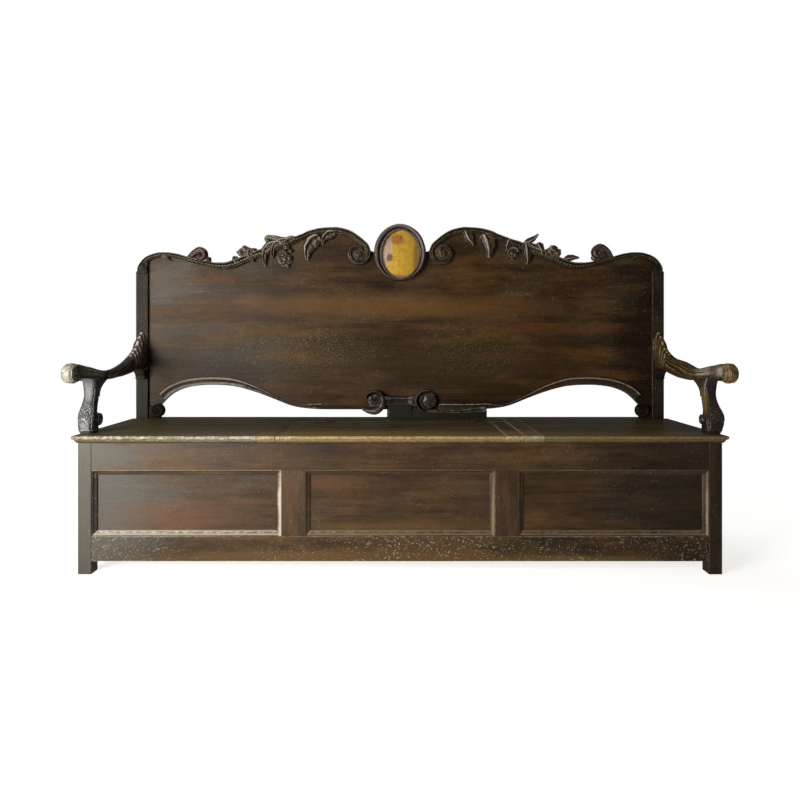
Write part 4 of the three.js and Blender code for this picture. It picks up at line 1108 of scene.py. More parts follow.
@dataclass
class Studio:
    """The camera at the photograph's viewing angle, soft light from a window on the left, and a pale floor."""

    distance: float = 2.194
    height: float = 0.756
    lens: float = 27.3
    horizon_shift: float = -0.074
    lamps: tuple[tuple, ...] = (  # name, place, what it faces, size, power and colour
        ("window", (-1.85, -2.0, 0.85), (-0.35, 0.0, 0.5), 1.5, 91.0, "#fff9f0"),
        ("room", (2.6, -2.6, 1.7), (0.3, 0.0, 0.6), 2.2, 3.0, "#fff1dc"),
        ("sky", (-0.4, 1.2, 3.2), (0.0, 0.1, 0.9), 2.4, 30.0, "#ffffff"),
    )
    floor_radius: float = 9000.0
    floor_rings: int = 24
    floor_sides: int = 64

    def build(self) -> None:
        """Make the camera, the lights, the world and the floor."""
        scene = bpy.context.scene
        camera = bpy.data.objects.new("camera", bpy.data.cameras.new("camera"))
        camera.data.lens = self.lens
        camera.data.shift_y = self.horizon_shift
        camera.location = (0, -self.distance, self.height)
        camera.rotation_euler = (math.pi / 2, 0, 0)
        scene.collection.objects.link(camera)
        scene.camera = camera
        scene.view_settings.view_transform = "Standard"
        for name, at, towards, size, power, tint in self.lamps:
            lamp = bpy.data.lights.new(name, "AREA")
            lamp.size, lamp.energy, lamp.color = size, power, linear(tint)[:3]
            holder = bpy.data.objects.new(name, lamp)
            holder.location = at
            x, y, z = np.subtract(towards, at)
            holder.rotation_euler = (math.atan2(math.hypot(x, y), -z), 0, math.atan2(-x, y))
            scene.collection.objects.link(holder)
        self.world()
        self.floor()

    def world(self) -> None:
        """A white surround for the camera, which lights the piece only dimly."""
        world = bpy.data.worlds.new("surround")
        add = Nodes(world).add
        strength = add(Kind.RANGE, add(Kind.CAMERA_RAY), 0.0, 1.0, 0.06, 1.0)
        add(Kind.SURROUND, add(Kind.GLOW, linear("#ffffff"), strength))
        bpy.context.scene.world = world

    def floor(self) -> None:
        """A large pale floor, a little uneven, that melts into the surround: its rings spread as share to the 1.5."""
        share, angle = disc_grid(self.floor_rings, self.floor_sides)
        radius = self.floor_radius * share**1.5
        points = np.stack([radius * np.cos(angle), radius * np.sin(angle), 0 * share], axis=-1).reshape(-1, 3) * MM
        index = np.arange(share.size).reshape(share.shape)
        beside = np.roll(index, -1, axis=1)
        quads = np.stack([index[:-1], index[1:], beside[1:], beside[:-1]], axis=-1).reshape(-1, 4)
        mesh = bpy.data.meshes.new("floor")
        mesh.from_pydata(points.tolist(), [], quads.tolist())
        nodes = Nodes(bpy.data.materials.new("pale_floor"))
        add = nodes.add
        place = add(Kind.PLACE)
        away = add(Kind.RANGE, add(Kind.LENGTH, place), 1.2, 3.5, 0.8, 1.0)
        colour = add(Kind.BLEND, add(Kind.NOISE, place, 60.0, 4.0), linear("#eeedea"), linear("#f6f5f2"))
        glow = add(Kind.RANGE, add(Kind.CAMERA_RAY), 0.0, 1.0, 0.05, away)
        inputs = {
            "Base Color": colour, "Roughness": 0.9, "Emission Color": linear("#fbfbfa"), "Emission Strength": glow,
        }
        mesh.materials.append(nodes.shaded(inputs))
        floor = bpy.data.objects.new("floor", mesh)
        bpy.context.scene.collection.objects.link(floor)


@dataclass
class Boards:
    """All the flat joinery: the CAD nodes that keep their shape and get old wood and soft arrises."""

    arris: float = 1.1
    iron_arris: float = 0.3
    iron: ForgedIron = ForgedIron()
    finishes: tuple[tuple[WalnutFinish, Grain, str], ...] = (
        (FRAMING, Grain.Z, "front_leg_left front_leg_right front_muntin_left front_muntin_right"),
        (FRAMING, Grain.X, "front_top_rail"),
        (FRAMING, Grain.Y, "side_top_rail_left side_top_rail_right"),
        (POST_LEFT, Grain.Z, "rear_post_left"),
        (POST_RIGHT, Grain.Z, "rear_post_right"),
        (LOW_RAIL, Grain.X, "front_bottom_rail"),
        (LOW_RAIL, Grain.Y, "side_bottom_rail_left side_bottom_rail_right"),
        (PANEL_LEFT, Grain.X, "front_panel_left"),
        (PANEL_CENTRE, Grain.X, "front_panel_centre"),
        (PANEL, Grain.X, "front_panel_right"),
        (PANEL, Grain.Y, "side_panel_left side_panel_right"),
        (MOULDING_LEFT, Grain.X, "panel_moulding_left"),
        (MOULDING_CENTRE, Grain.X, "panel_moulding_centre"),
        (MOULDING_RIGHT, Grain.X, "panel_moulding_right"),
        (BACK, Grain.X, "back_board_lower back_board_upper"),
        (NOSING_LEFT, Grain.X, "seat_board_front_left"),
        (NOSING_RIGHT, Grain.X, "seat_board_front_right"),
        (NOSING_LID, Grain.X, "lid_board_front"),
        (SEAT_LEFT, Grain.X, "seat_board_rear_left"),
        (SEAT, Grain.X, "seat_board_rear_right lid_board_rear hinge_rail"),
        (CLEAT_DARK, Grain.Y, "seat_cleat_left lid_cleat_left"),
        (CLEAT_PALE, Grain.Y, "seat_cleat_right lid_cleat_right"),
        (DRY, Grain.X, "rear_bottom_rail rear_top_rail rear_panel floor_batten_front floor_batten_rear floor_board"),
        (DRY, Grain.Y, "seat_bearer_left seat_bearer_right"),
    )

    def build(self) -> None:
        """Give each board its own stretch of wood, and dress the iron of the hinges."""
        for finish, grain, names in self.finishes:
            for name in names.split():
                box = tuple(np.array(corner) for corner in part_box(name))
                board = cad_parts[name]
                board.material_slots[0].material = finish.material(f"walnut_{name}", grain, box)
                soften(board, self.arris)
                log.info("%s: dressed", name)
        iron = self.iron.material("forged_iron")
        for side in Side:
            for part in ("hinge_leaf_rail", "hinge_leaf_lid", "hinge_pin"):
                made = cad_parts[f"{part}_{side.label}"]
                made.material_slots[0].material = iron
                soften(made, self.iron_arris)
            HingeScrews(side, iron).build()


@dataclass
class HingeScrews:
    """Three slotted screws in each leaf of a hinge, their heads all but flush, as a smith would have filed them."""

    side: Side
    iron: bpy.types.Material
    head: float = 3.4
    proud: float = 0.12
    slot: float = 0.45
    spread: float = 22.0

    def heads(self, leaf: str, outward: int) -> list[Skin]:
        """The screw heads: flat domes whose height falls to nothing along a slot.

        Args:
            leaf: The CAD node that the screws hold.
            outward: 1 where the leaf's free face looks back along y, and -1 where it looks forward.

        Returns:
            One skin for each screw.
        """
        low, high = (np.array(corner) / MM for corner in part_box(leaf))
        face = high[1] if outward > 0 else low[1]
        share, angle = disc_grid(12, 48)
        skins = []
        for step in (-1, 0, 1):
            x, z = self.head * share * np.cos(angle), self.head * share * np.sin(angle)
            cut = bell(self.head * share * np.sin(angle + 0.7 * step + low[0]), self.slot)
            rise = self.proud * (1 - 0.5 * share**4) - 0.3 * cut * (1 - eased(share, 0.85, 1))
            x = x + (low[0] + high[0]) / 2 + step * self.spread
            z = z + low[2] + (high[2] - low[2]) * 0.45
            points = np.stack([walled(x), face + outward * walled(rise, -0.8), walled(z)], axis=-1)
            skins.append(Skin(points, walled(rise)))
        return skins

    def build(self) -> None:
        """Add the screws of the rail's leaf and of the lid's leaf."""
        for part, body, outward in (("rail", "frame", -1), ("lid", "lid", 1)):
            skins = self.heads(f"hinge_leaf_{part}_{self.side.label}", outward)
            piece(f"hinge_screws_{part}_{self.side.label}", skins, self.iron, "iron", body=body)


LEFT_LEAVES = (
    Leaf("hook", (-956, 1094), (-906, 1071), 16, 16, -0.12, 0.3),
    Leaf("lobe", (-590, 1122), (-574, 1066), 30, 24, 0.14),
    Leaf("lobe_low", (-652, 1092), (-632, 1058), 24, 21, 0.14),
    Leaf("leaf_a", (-462, 1145), (-532, 1048), 40, 25, 0.3),
    Leaf("leaf_b", (-436, 1154), (-503, 1078), 34, 26, 0.28),
    Leaf("leaf_c", (-412, 1164), (-455, 1106), 28, 26, 0.22),
    Leaf("leaf_d", (-316, 1170), (-367, 1072), 58, 24, 0.16, -0.62),
    Leaf("leaf_e", (-256, 1184), (-309, 1136), 40, 24, 0.16, -0.6),
    Curl(
        "curl_outer", (-846, 1076), (-787, 1094), 22, 122, -400, 24, 25,
        (((-808, 1078), 15, 10, 2.3), ((-770, 1077), 15, 15, 1.6)),
    ),
    Curl(
        "curl_top", (-450, 1152), (-519, 1155), 9, 75, 330, 27, 24,
        (((-496, 1142), 17, 19, 2.0), ((-466, 1150), 13, 19, 2.0)),
    ),
)
RIGHT_LEAVES = (
    Leaf("hook", (-956, 1094), (-912, 1074), 13, 13, -0.12, 0.3),
    Leaf("flat_leaf", (-648, 1078), (-712, 1084), 26, 18, 0.06, 0.2),
    Leaf("leaf_a", (-496, 1141), (-502, 1058), 42, 25, 0.03, 0.1),
    Leaf("leaf_b", (-540, 1142), (-560, 1092), 34, 23, 0.1, 0.1),
    Leaf("leaf_c", (-436, 1160), (-420, 1110), 34, 22, -0.1, 0.1),
    Leaf("leaf_d", (-330, 1180), (-350, 1083), 62, 24, 0.1, 0.15),
    Leaf("leaf_e", (-258, 1192), (-292, 1132), 44, 23, -0.06, 0.1),
    Leaf("spike", (-489, 1141), (-549, 1181), 26, 22, -0.08, 0.2),
    Leaf("spike_root", (-566, 1112), (-496, 1150), 34, 21, 0.08, 0.0),
    Curl("curl_outer", (-846, 1074), (-787, 1102), 25, 118, -410, 25, 25, (((-796, 1086), 19, 17, 2.1),)),
    Curl("ring", (-486, 1138), (-444, 1100), 25, 120, -330, 14, 22),
)
CAPITAL_LEAVES = (
    Leaf("capital_leaf", (-1014, 1018), (-1020, 1064), 30, 7, 0.1, -0.3, POST_FRONT - 1.2),
    Leaf("capital_leaf", (-1030, 1020), (-1032, 1042), 14, 6, 0.1, 0.0, POST_FRONT - 1.2),
    Leaf("capital_leaf", (-1002, 1020), (-1003, 1048), 12, 6, -0.1, 0.0, POST_FRONT - 1.2),
)


@dataclass
class Paired:
    """A carved sub-assembly that comes in a left and a right one."""

    side: Side
    carving: bpy.types.Material

    def add(self, name: str, stands_for: str, slot: str, skins: list[Skin], material: bpy.types.Material) -> None:
        """Add a piece on this side, in place of this side's node of the name `stands_for`."""
        label = self.side.label
        piece(f"{name}_{label}", self.side.placed(skins), material, slot, (f"{stands_for}_{label}",))


@dataclass
class Crest(Paired):
    """One half of the crest: a moulded band that ends in a volute, with leaves and curls carved under it."""

    band_finish: bpy.types.Material
    russet: bpy.types.Material
    dark: bpy.types.Material
    band_width: float = 18.0
    neck_width: float = 25.0
    proud: float = 20.5
    scroll_radius: float = 46.0
    leafed_width: float = 11.0  # how much wider the band is where the leaves hang
    scroll_start: float = 60.0
    scroll_turn: float = -420.0
    rope_from: float = -769.0
    rope_to: float = -513.0
    rope_pitch: float = 13.0
    profile: tuple[Point, ...] = (
        (-1, 0.44), (-0.86, 0.56), (-0.7, 0.58), (-0.5, 0.7), (-0.2, 0.86), (0.08, 0.84), (0.26, 0.64),
        (0.36, 0.6), (0.46, 0.74), (0.64, 0.98), (0.84, 0.96), (1, 0.72),
    )

    def edge(self, count: int) -> Array:
        """The crest's top edge, from the post to the volute."""
        start = np.array([-HALF_WIDTH, POST_TOP])
        return smooth_line(start + CREST_SHARES * (HALF_WIDTH + SCROLL_EYE[0], CREST_RISE), count)

    def band(self) -> list[Skin]:
        """The band: its profile carried along the edge and round the volute, where it narrows.

        Returns:
            The closed skins.
        """
        edge = self.edge(120)
        middle = edge - normals(edge) * self.band_width / 2
        share = np.linspace(0, 1, 60)[1:]
        coil = spiral(SCROLL_EYE, self.scroll_start + self.scroll_turn * share, self.scroll_radius * (1 - 0.63 * share))
        line = smooth_line(np.vstack([middle[::4], coil[::3]]), 330)
        along = np.linspace(0, 1, len(line))
        thick = self.leafed_width * (eased(along, 0.24, 0.34) - eased(along, 0.48, 0.6))
        widths = [self.band_width, self.band_width, self.neck_width, 22, 15, 11]
        width = np.interp(along, [0, 0.5, 0.72, 0.8, 0.92, 1], widths) + thick
        line = line - normals(line) * thick[:, None] / 2
        over = np.linspace(-1, 1, 25)
        height = self.proud * np.interp(over, *np.array(self.profile).T)[None, :] * np.ones((len(line), 1))
        walked = np.append(0, np.cumsum(np.linalg.norm(np.diff(line, axis=0), axis=1)))
        ribs = np.sin(2 * math.pi * (walked[:, None] / self.rope_pitch + 0.5 * over[None, :]))
        roped = eased(line[:, :1], self.rope_from - 8, self.rope_from + 8)
        roped = roped - eased(line[:, :1], self.rope_to - 8, self.rope_to + 8)
        height = height + 1.2 * ribs * roped * bell(over + 0.15, 0.45)[None, :]
        height *= np.clip(rounded(along, 0.012, 0.02), 0.02, 1)[:, None]
        return [swept(line, width, over, height, uneven=0.7)]

    def capital(self) -> list[Skin]:
        """The block over the post, under the band: its top follows the band's middle line.

        Returns:
            The closed skins.
        """
        edge = self.edge(160)
        middle = edge - normals(edge) * self.band_width / 2
        over_post = middle[(middle[:, 0] < -POST_INNER - 0.3)]
        x = np.linspace(over_post[3, 0], -POST_INNER - 0.3, 12)
        top = np.interp(x, over_post[:, 0], over_post[:, 1])
        low = np.full(12, POST_TOP + 0.3)
        corners = [
            np.stack([x, np.full(12, depth), z], axis=1)
            for depth, z in ((POST_FRONT - 1, low), (POST_FRONT - 1, top), (BOARD_REAR, top), (BOARD_REAR, low))
        ]
        return [Skin(np.stack(corners, axis=1), np.zeros((12, 4)))]

    def build(self) -> None:
        """Add the band, the volute's ground and eye, the capital over the post, and the carved leaves and curls."""
        eye = tuple(SCROLL_EYE)
        made = {
            "band": self.band(),
            "volute_ground": [dome(eye, 38, 7)],
            "volute_eye": cluster((eye[0] + 2, eye[1]), (14, 14), 6, 6.5, 25, 14),
            "capital": self.capital(),
        }
        for carved in (*CAPITAL_LEAVES, *(LEFT_LEAVES if self.side is Side.LEFT else RIGHT_LEAVES)):
            made.setdefault(carved.name, []).extend(carved.skins())
        if self.side is Side.LEFT:
            made["rosette"] = cluster((-456, 1077), (30, 29), 12, 9, 21, 4)
            made["bead"] = [dome((-448, 1128), 12, 22), dome((-432, 1112), 9, 15)]
            made["curl_inner"] = [*cluster((-606, 1106), (40, 22), 9, 11, 23, 6), dome((-612, 1120), 13, 24)]
        else:
            made["ball"] = [dome((-467, 1114), 8, 18), dome((-480, 1130), 6, 15)]
            made["curl_inner"] = [*cluster((-604, 1104), (36, 24), 9, 11, 23, 9), dome((-602, 1122), 12, 24)]
        special = {
            "band": self.band_finish, "capital": self.dark, "capital_leaf": self.dark, "curl_outer": self.russet
        }
        for part, skins in made.items():
            self.add(f"crest_{part}", "crest", "walnut", skins, special.get(part, self.carving))


@dataclass
class Medallion:
    """The oval medallion in the middle of the crest: a turned ring, a row of beads and a domed gilt plate."""

    wood: bpy.types.Material
    bead_wood: bpy.types.Material
    gilding: bpy.types.Material
    centre_z: float = 1105.0
    outer: Point = (102.3, 112.0)
    inner: Point = (75.5, 96.0)
    inner_drop: float = 8.0  # the opening's centre lies this much lower than the ring's
    proud: float = 33.5
    plate_thickness: float = 8.0
    plate_dome: float = 7.0
    bead_count: int = 58
    bead_radius: float = 2.7

    def oval(self, half: Point, angle: Array, drop: float = 0.0) -> Array:
        """Points of an oval in x and z that is a little narrower at its top, and lies `drop` under the centre."""
        egg = 1 - 0.025 * np.sin(angle)
        return np.stack([half[0] * egg * np.cos(angle), self.centre_z - drop + half[1] * np.sin(angle)], axis=-1)

    def ring(self) -> list[Skin]:
        """The ring: a section that runs from the outer oval to the inner one, carried round.

        Returns:
            The closed skins.
        """
        angle = circle(120)
        inward = np.array([0, 0, 0.03, 0.1, 0.2, 0.32, 0.45, 0.57, 0.66, 0.72, 0.78, 0.85, 0.93, 1, 1])
        shares = np.array([0.5, 0.5, 0.62, 0.8, 0.93, 1, 0.98, 0.88, 0.72, 0.58, 0.56, 0.62, 0.6, 0.46, 0.3])
        outside, inside = self.oval(self.outer, angle), self.oval(self.inner, angle, self.inner_drop)
        place = outside[:, None] + (inside - outside)[:, None] * inward[None, :, None]
        relief = self.proud * shares * np.ones((120, 1))
        standing = relief.copy()
        standing[:, 0] = 0
        points = np.stack([place[..., 0], BOARD_FACE - standing, place[..., 1]], axis=-1)
        points = points + ripple(points, 45, 3)[..., None] * (0.3, 0, 0.3)
        return [Skin(points, relief, looped=True, walled=True)]

    def beads(self) -> list[Skin]:
        """A thin row of beads inside the ring: a round bar whose radius swells with the cosine of the bead's angle.

        Returns:
            The closed skins.
        """
        angle = circle(self.bead_count * 8)
        swell = 0.62 + 0.38 * np.abs(np.cos(self.bead_count * angle / 2))
        middle = self.oval((self.inner[0] - 0.5, self.inner[1] - 0.5), angle, self.inner_drop)
        outward = middle - (0, self.centre_z - self.inner_drop)
        outward /= np.linalg.norm(outward, axis=1, keepdims=True)
        around = circle(10)
        radius = self.bead_radius * swell[:, None]
        reach = radius * np.cos(around)[None, :]
        depth = BOARD_FACE - self.proud * 0.62 - radius * np.sin(around)[None, :]
        x = middle[:, :1] + outward[:, :1] * reach
        z = middle[:, 1:] + outward[:, 1:] * reach
        relief = radius * (1 + np.sin(around)[None, :])
        return [Skin(np.stack([x, depth, z], axis=-1), relief, looped=True)]

    def plate(self) -> list[Skin]:
        """The plate: an oval dome that rises with one less the square of the radius, pitted by age.

        Returns:
            The closed skins.
        """
        share, angle = disc_grid(46, 96)
        place = self.oval((self.inner[0] + 3, self.inner[1] + 3), angle[0], self.inner_drop)
        middle = self.centre_z - self.inner_drop
        x = share * place[None, :, 0]
        z = middle + share * (place[None, :, 1] - middle)
        rise = self.plate_thickness + self.plate_dome * (1 - share**2)
        flat = np.stack([x, np.zeros_like(x), z], axis=-1)
        rise = rise + 0.35 * ripple(flat, 26, 8) + 0.16 * ripple(flat, 9, 9)
        points = np.stack([walled(x), BOARD_FACE - 0.3 - walled(rise, 0), walled(z)], axis=-1)
        return [Skin(points, walled(rise))]

    def build(self) -> None:
        """Add the ring, the beads and the plate."""
        piece("medallion_rim", self.ring(), self.wood, "walnut", ("medallion_ring",))
        piece("medallion_beads", self.beads(), self.bead_wood, "walnut", ("medallion_ring",))
        piece("medallion_gilt", self.plate(), self.gilding, "gilt", ("medallion_plate",))


@dataclass
class ArchMoulding(Paired):
    """The moulding round one arch of the back, and the small scroll on the foot where it ends."""

    corner_finish: bpy.types.Material
    width: float = 31.0
    neck_width: float = 9.0
    tail_width: float = 23.0
    proud: float = 11.0
    left_end: float = -306.0  # the flat part of the left band is lost
    right_end: float = -150.0
    profile: tuple[Point, ...] = (
        (-1, 0.34), (-0.9, 0.42), (-0.72, 0.3), (-0.3, 0.3), (0.1, 0.42), (0.4, 0.66), (0.52, 0.62), (0.6, 0.92),
        (0.76, 1), (0.9, 0.9), (1, 0.5),
    )
    scroll: Point = (-955.6, 481.0)
    scroll_radius: float = 26.5
    scroll_proud: float = 19.5
    scroll_turns: float = 2.4

    def volute(self) -> Skin:
        """The scroll: one band wound inwards round an eye.

        The band's height goes as the root of a sine of the turns, which leaves narrow grooves, and its phase rises
        by one turn for each trip round. The eye is a bell curve in the middle.

        Returns:
            The closed skin.
        """
        share, angle = disc_grid(44, 72)
        coil = np.abs(np.sin(math.pi * (share * self.scroll_turns + angle / (2 * math.pi)))) ** 0.5
        height = 0.62 + 0.3 * coil * eased(share, 0.26, 0.39) + 0.36 * bell(share, 0.208)
        height = self.scroll_proud * np.clip(height * (1 - eased(share, 0.9, 1) * 0.3), 0.2, 1)
        return turned(self.scroll, share * self.scroll_radius, height, BOARD_FACE - 0.3)

    def build(self) -> None:
        """Add the band and the corner scroll."""
        start = np.array([-POST_INNER, SEAT_TOP])
        edge = start + ARCH_SHARES * (POST_INNER - CENTRE_FOOT, ARCH_RISE)
        end = self.left_end if self.side is Side.LEFT else self.right_end
        edge = smooth_line(np.vstack([edge, [-149, edge[-1, 1]]]), 240)
        edge = edge[edge[:, 0] < end]
        narrowing = eased(edge[:, 0], -700, -430)
        width = self.width + (self.neck_width - self.width) * narrowing
        width += (self.tail_width - self.neck_width) * eased(edge[:, 0], -410, -330)
        line = edge + normals(edge) * width[:, None] / 2
        over = np.linspace(-1, 1, 25)
        along = np.linspace(0, 1, len(line))
        height = self.proud * np.interp(over, *np.array(self.profile).T)[None, :] * (1 - 0.25 * narrowing[:, None])
        height = height * np.clip(rounded(along, 0.01, 0.05), 0.05, 1)[:, None]
        band = swept(line[9:], width[9:], over, height[9:], uneven=0.4)
        foot = slab(
            (-POST_INNER + 0.4, BOARD_FACE - 5, SEAT_TOP + 0.3), (self.scroll[0] + 4, BOARD_REAR, edge[0, 1] - 0.4)
        )
        self.add("arch_band", "arch_moulding", "walnut", [band], self.carving)
        self.add("arch_corner_scroll", "corner_scroll", "walnut", [self.volute(), foot], self.corner_finish)


@dataclass
class BaseOrnament:
    """The carving over the middle foot of the back: two volutes joined by a bar, an apron, and the foot itself.

    The left volute is a broad band that rolls round a rough knob and ends in a tongue. The right one is a thin rim
    round a large smooth eye. The foot runs on to the right, under the back's flat edge, behind a plain moulding.
    """

    carving: bpy.types.Material
    worn: bpy.types.Material
    plain: bpy.types.Material
    left_eye: Point = (-101.0, 520.0)
    right_eye: Point = (103.0, 521.0)
    proud: float = 35.0
    bar_height: float = 33.0
    foot_half: float = 52.0
    foot_end: float = 344.5
    apron_half: float = 47.0
    apron_proud: float = 6.5
    foot_top: float = 483.5

    def left_volute(self) -> list[Skin]:
        """The broad band, whose height is a rounded section with a groove near its inner edge, and the knob.

        Returns:
            The closed skins.
        """
        angle = np.linspace(165, -104, 60)
        line = spiral(self.left_eye, angle, np.interp(angle, [-104, -60, 0, 60, 165], [43, 38, 32, 37, 37]))
        line = smooth_line(np.vstack([line, [-133, 482], [-152, 488]]), 130)
        along = np.linspace(0, 1, 130)
        width = np.interp(along, [0, 0.22, 0.42, 0.58, 0.74, 0.88, 1], [5, 8, 18, 25, 28, 20, 7])
        over = np.linspace(-1, 1, 17)
        section = 0.7 + 0.28 * np.cos(over * 1.4) - 0.1 * bell(over - 0.72, 0.12)
        fall = np.interp(along, [0, 0.1, 0.75, 1], [0.8, 1, 0.9, 0.42])
        height = self.proud * section[None, :] * fall[:, None] * rounded(along, 0.03, 0.06)[:, None]
        return [swept(line, width, over, height, BOARD_FACE - 0.3, 0.5), dome(self.left_eye, 27, 17)]

    def right_volute(self) -> list[Skin]:
        """The thin rim over a sunk ground, and the rim round the eye.

        Returns:
            The closed skins.
        """
        x, z = self.right_eye
        over = np.linspace(-1, 1, 11)
        rims = []
        for centre, radius, turn, width, proud in (
            (self.right_eye, (40, 41), (60, 262), 7, self.proud),
            ((x + 9, z - 1), (29, 27), (105, 255), 4, self.proud * 0.9),
        ):
            line = spiral(centre, np.linspace(*turn, 60), np.linspace(*radius, 60))
            along = np.linspace(0, 1, 60)
            height = proud * (0.75 + 0.25 * np.cos(over * 1.5))[None, :] * rounded(along, 0.1, 0.1)[:, None]
            thin = width * np.interp(along, [0, 0.3, 0.7, 1], [0.5, 1, 0.8, 0.4])
            rims.append(swept(line, thin, over, height, BOARD_FACE - 0.3, 0.3))
        return [*rims, dome(self.right_eye, 38, 12)]

    def bar(self) -> list[Skin]:
        """The bar: a raised lip along its top and foot, a sunk field, and a collar that flares at the right end.

        Returns:
            The closed skins.
        """
        line = np.stack([np.linspace(-62, 64, 70), np.full(70, self.left_eye[1] + 1)], axis=1)
        over = np.linspace(-1, 1, 25)
        along = np.linspace(0, 1, 70)
        rises = [0.56, 0.62, 0.4, 0.42, 0.66, 0.8, 0.74, 0.6]
        section = np.interp(over, [-1, -0.9, -0.75, 0.1, 0.3, 0.5, 0.8, 1], rises)
        ends = 0.3 * (1 - eased(along, 0.1, 0.3) + eased(along, 0.74, 0.86))
        flare = eased(along, 0.72, 0.98)
        width = self.bar_height * (1 - 0.1 * eased(along, 0, 0.3)) * (1 + 0.35 * flare)
        height = 25 * np.minimum(section[None, :] + ends[:, None], 0.98)
        return [swept(line, width, over, height, BOARD_FACE - 0.3, 0.4)]

    def build(self) -> None:
        """Add the volutes, the bar, the apron, the foot and its moulding, which all stand for the one CAD node."""
        low = SEAT_TOP + 0.3
        along = np.linspace(0, 1, 40)
        rail_line = np.stack([np.linspace(self.foot_end - 2, 104, 40), 486 - 9 * eased(along, 0, 0.5)], axis=1)
        over = np.linspace(-1, 1, 13)
        section = np.interp(over, [-1, -0.7, -0.2, 0.2, 0.7, 1], [0.5, 0.9, 1, 0.7, 0.85, 0.5])
        height = 8 * section[None, :] * rounded(along, 0.05, 0.4)[:, None]
        apron = slab(
            (-self.apron_half, BOARD_FACE - self.apron_proud, low),
            (self.apron_half, BOARD_FACE, self.left_eye[1] - 14),
        )
        foot = slab((-self.foot_half, BOARD_FACE - 5, low), (self.foot_end, BOARD_REAR, self.foot_top), 0.01)
        made = {
            "base_volute_left": (self.left_volute(), self.worn),
            "base_knob": (cluster((self.left_eye[0] - 6, self.left_eye[1] + 2), (17, 17), 8, 6, 28, 12), self.carving),
            "base_volute_right": (self.right_volute(), self.worn),
            "base_eye": ([dome((self.right_eye[0] + 12, self.right_eye[1]), 31, self.proud * 0.85)], self.plain),
            "base_bar": (self.bar(), self.worn),
            "base_apron": ([apron], self.plain),
            "base_foot": ([foot], self.plain),
            "base_moulding": ([swept(rail_line, 23 - 15 * along, over, height, BOARD_FACE - 5, 0.6)], self.worn),
        }
        for name, (skins, material) in made.items():
            piece(name, skins, material, "walnut", ("base_scroll",))


ARM_SHARES = np.array([  # reach, top, bottom, half width, outward: heights and widths in hand radii
    [0, 4.06, -0.24, 0.65, 0], [0.075, 3.3, -0.24, 0.65, -0.02], [0.14, 2.35, -0.22, 0.65, -0.045],
    [0.26, 1.53, -0.41, 0.65, -0.075], [0.377, 0.94, -0.59, 0.63, -0.11], [0.5, 0.55, -0.7, 0.61, -0.15],
    [0.6, 0.32, -0.76, 0.6, -0.18], [0.74, 0.18, -0.82, 0.6, -0.225], [0.855, 0.24, -0.82, 0.62, -0.2],
    [0.92, 0.56, -0.84, 0.7, 0.3], [0.97, 0.93, -0.84, 0.64, 0.78], [1, 0.98, -0.8, 0.62, 1],
])
SUPPORT_SHARES = np.array([  # height, outward, half width, backward, half depth, in support sizes
    [0, 0, 0.47, 0, 0.54], [0.05, 0.01, 0.52, 0, 0.57], [0.18, 0.04, 0.56, 0.01, 0.58], [0.32, 0.03, 0.56, -0.06, 0.52],
    [0.44, -0.03, 0.54, -0.2, 0.46], [0.56, -0.16, 0.5, -0.32, 0.42], [0.72, -0.32, 0.45, -0.42, 0.41],
    [0.86, -0.37, 0.45, -0.42, 0.41], [1, -0.35, 0.5, -0.34, 0.44],
])


def roll(axis: Point, low: float, high: float, radius: float, lean: float, carved: float, seed: int) -> Skin:
    """A scroll seen from its side: a round roll along x with a wound band on both ends and leaf lobes round it.

    The ends rise and fall with the fourth root of the sine of the turns, as in a volute. The barrel carries lobes
    whose height is the product of a sine of the angle and a sine of the length.

    Args:
        axis: The y and z of its axis.
        low: Its outer end along x.
        high: Its inner end.
        radius: Its greatest radius.
        lean: The way that its ends wind.
        carved: The height of the lobes.
        seed: Picks its unevenness.

    Returns:
        The closed skin.
    """
    sides = 96
    face, angle = disc_grid(26, sides)
    coil = np.abs(np.sin(math.pi * (face * 2.1 - lean * angle / (2 * math.pi) + 0.15))) ** 0.5
    bulge = 5.0 * (coil * eased(face, 0.2, 0.34) + 1.1 * bell(face, 0.2)) * (1 - eased(face, 0.88, 1) * 0.5)
    along = np.linspace(0, 1, 44)[:, None] + np.zeros((1, sides))
    lobes = np.abs(np.sin(2 * angle[:1] + 1.6 * along)) ** 0.35 * eased(along, 0.0, 0.12)
    relief = carved * (lobes * (1 - eased(along, 0.78, 0.86)) + 0.6 * bell(along - 0.9, 0.035))
    barrel = radius - 2.2 - carved + relief + 1.8 * np.sin(math.pi * along) ** 0.7
    x = np.vstack([low + 6 - bulge, low + 6 + (high - low - 12) * along, (high - 6 + bulge)[::-1]])
    grid = np.vstack([barrel[:1] * face, barrel, (barrel[-1:] * face)[::-1]])
    skin = rolled(axis, x, grid, np.vstack([bulge, relief + 4, bulge[::-1]]))
    return replace(skin, points=skin.points + 0.35 * ripple(skin.points, 22, seed)[..., None] * (0, 1, 1))


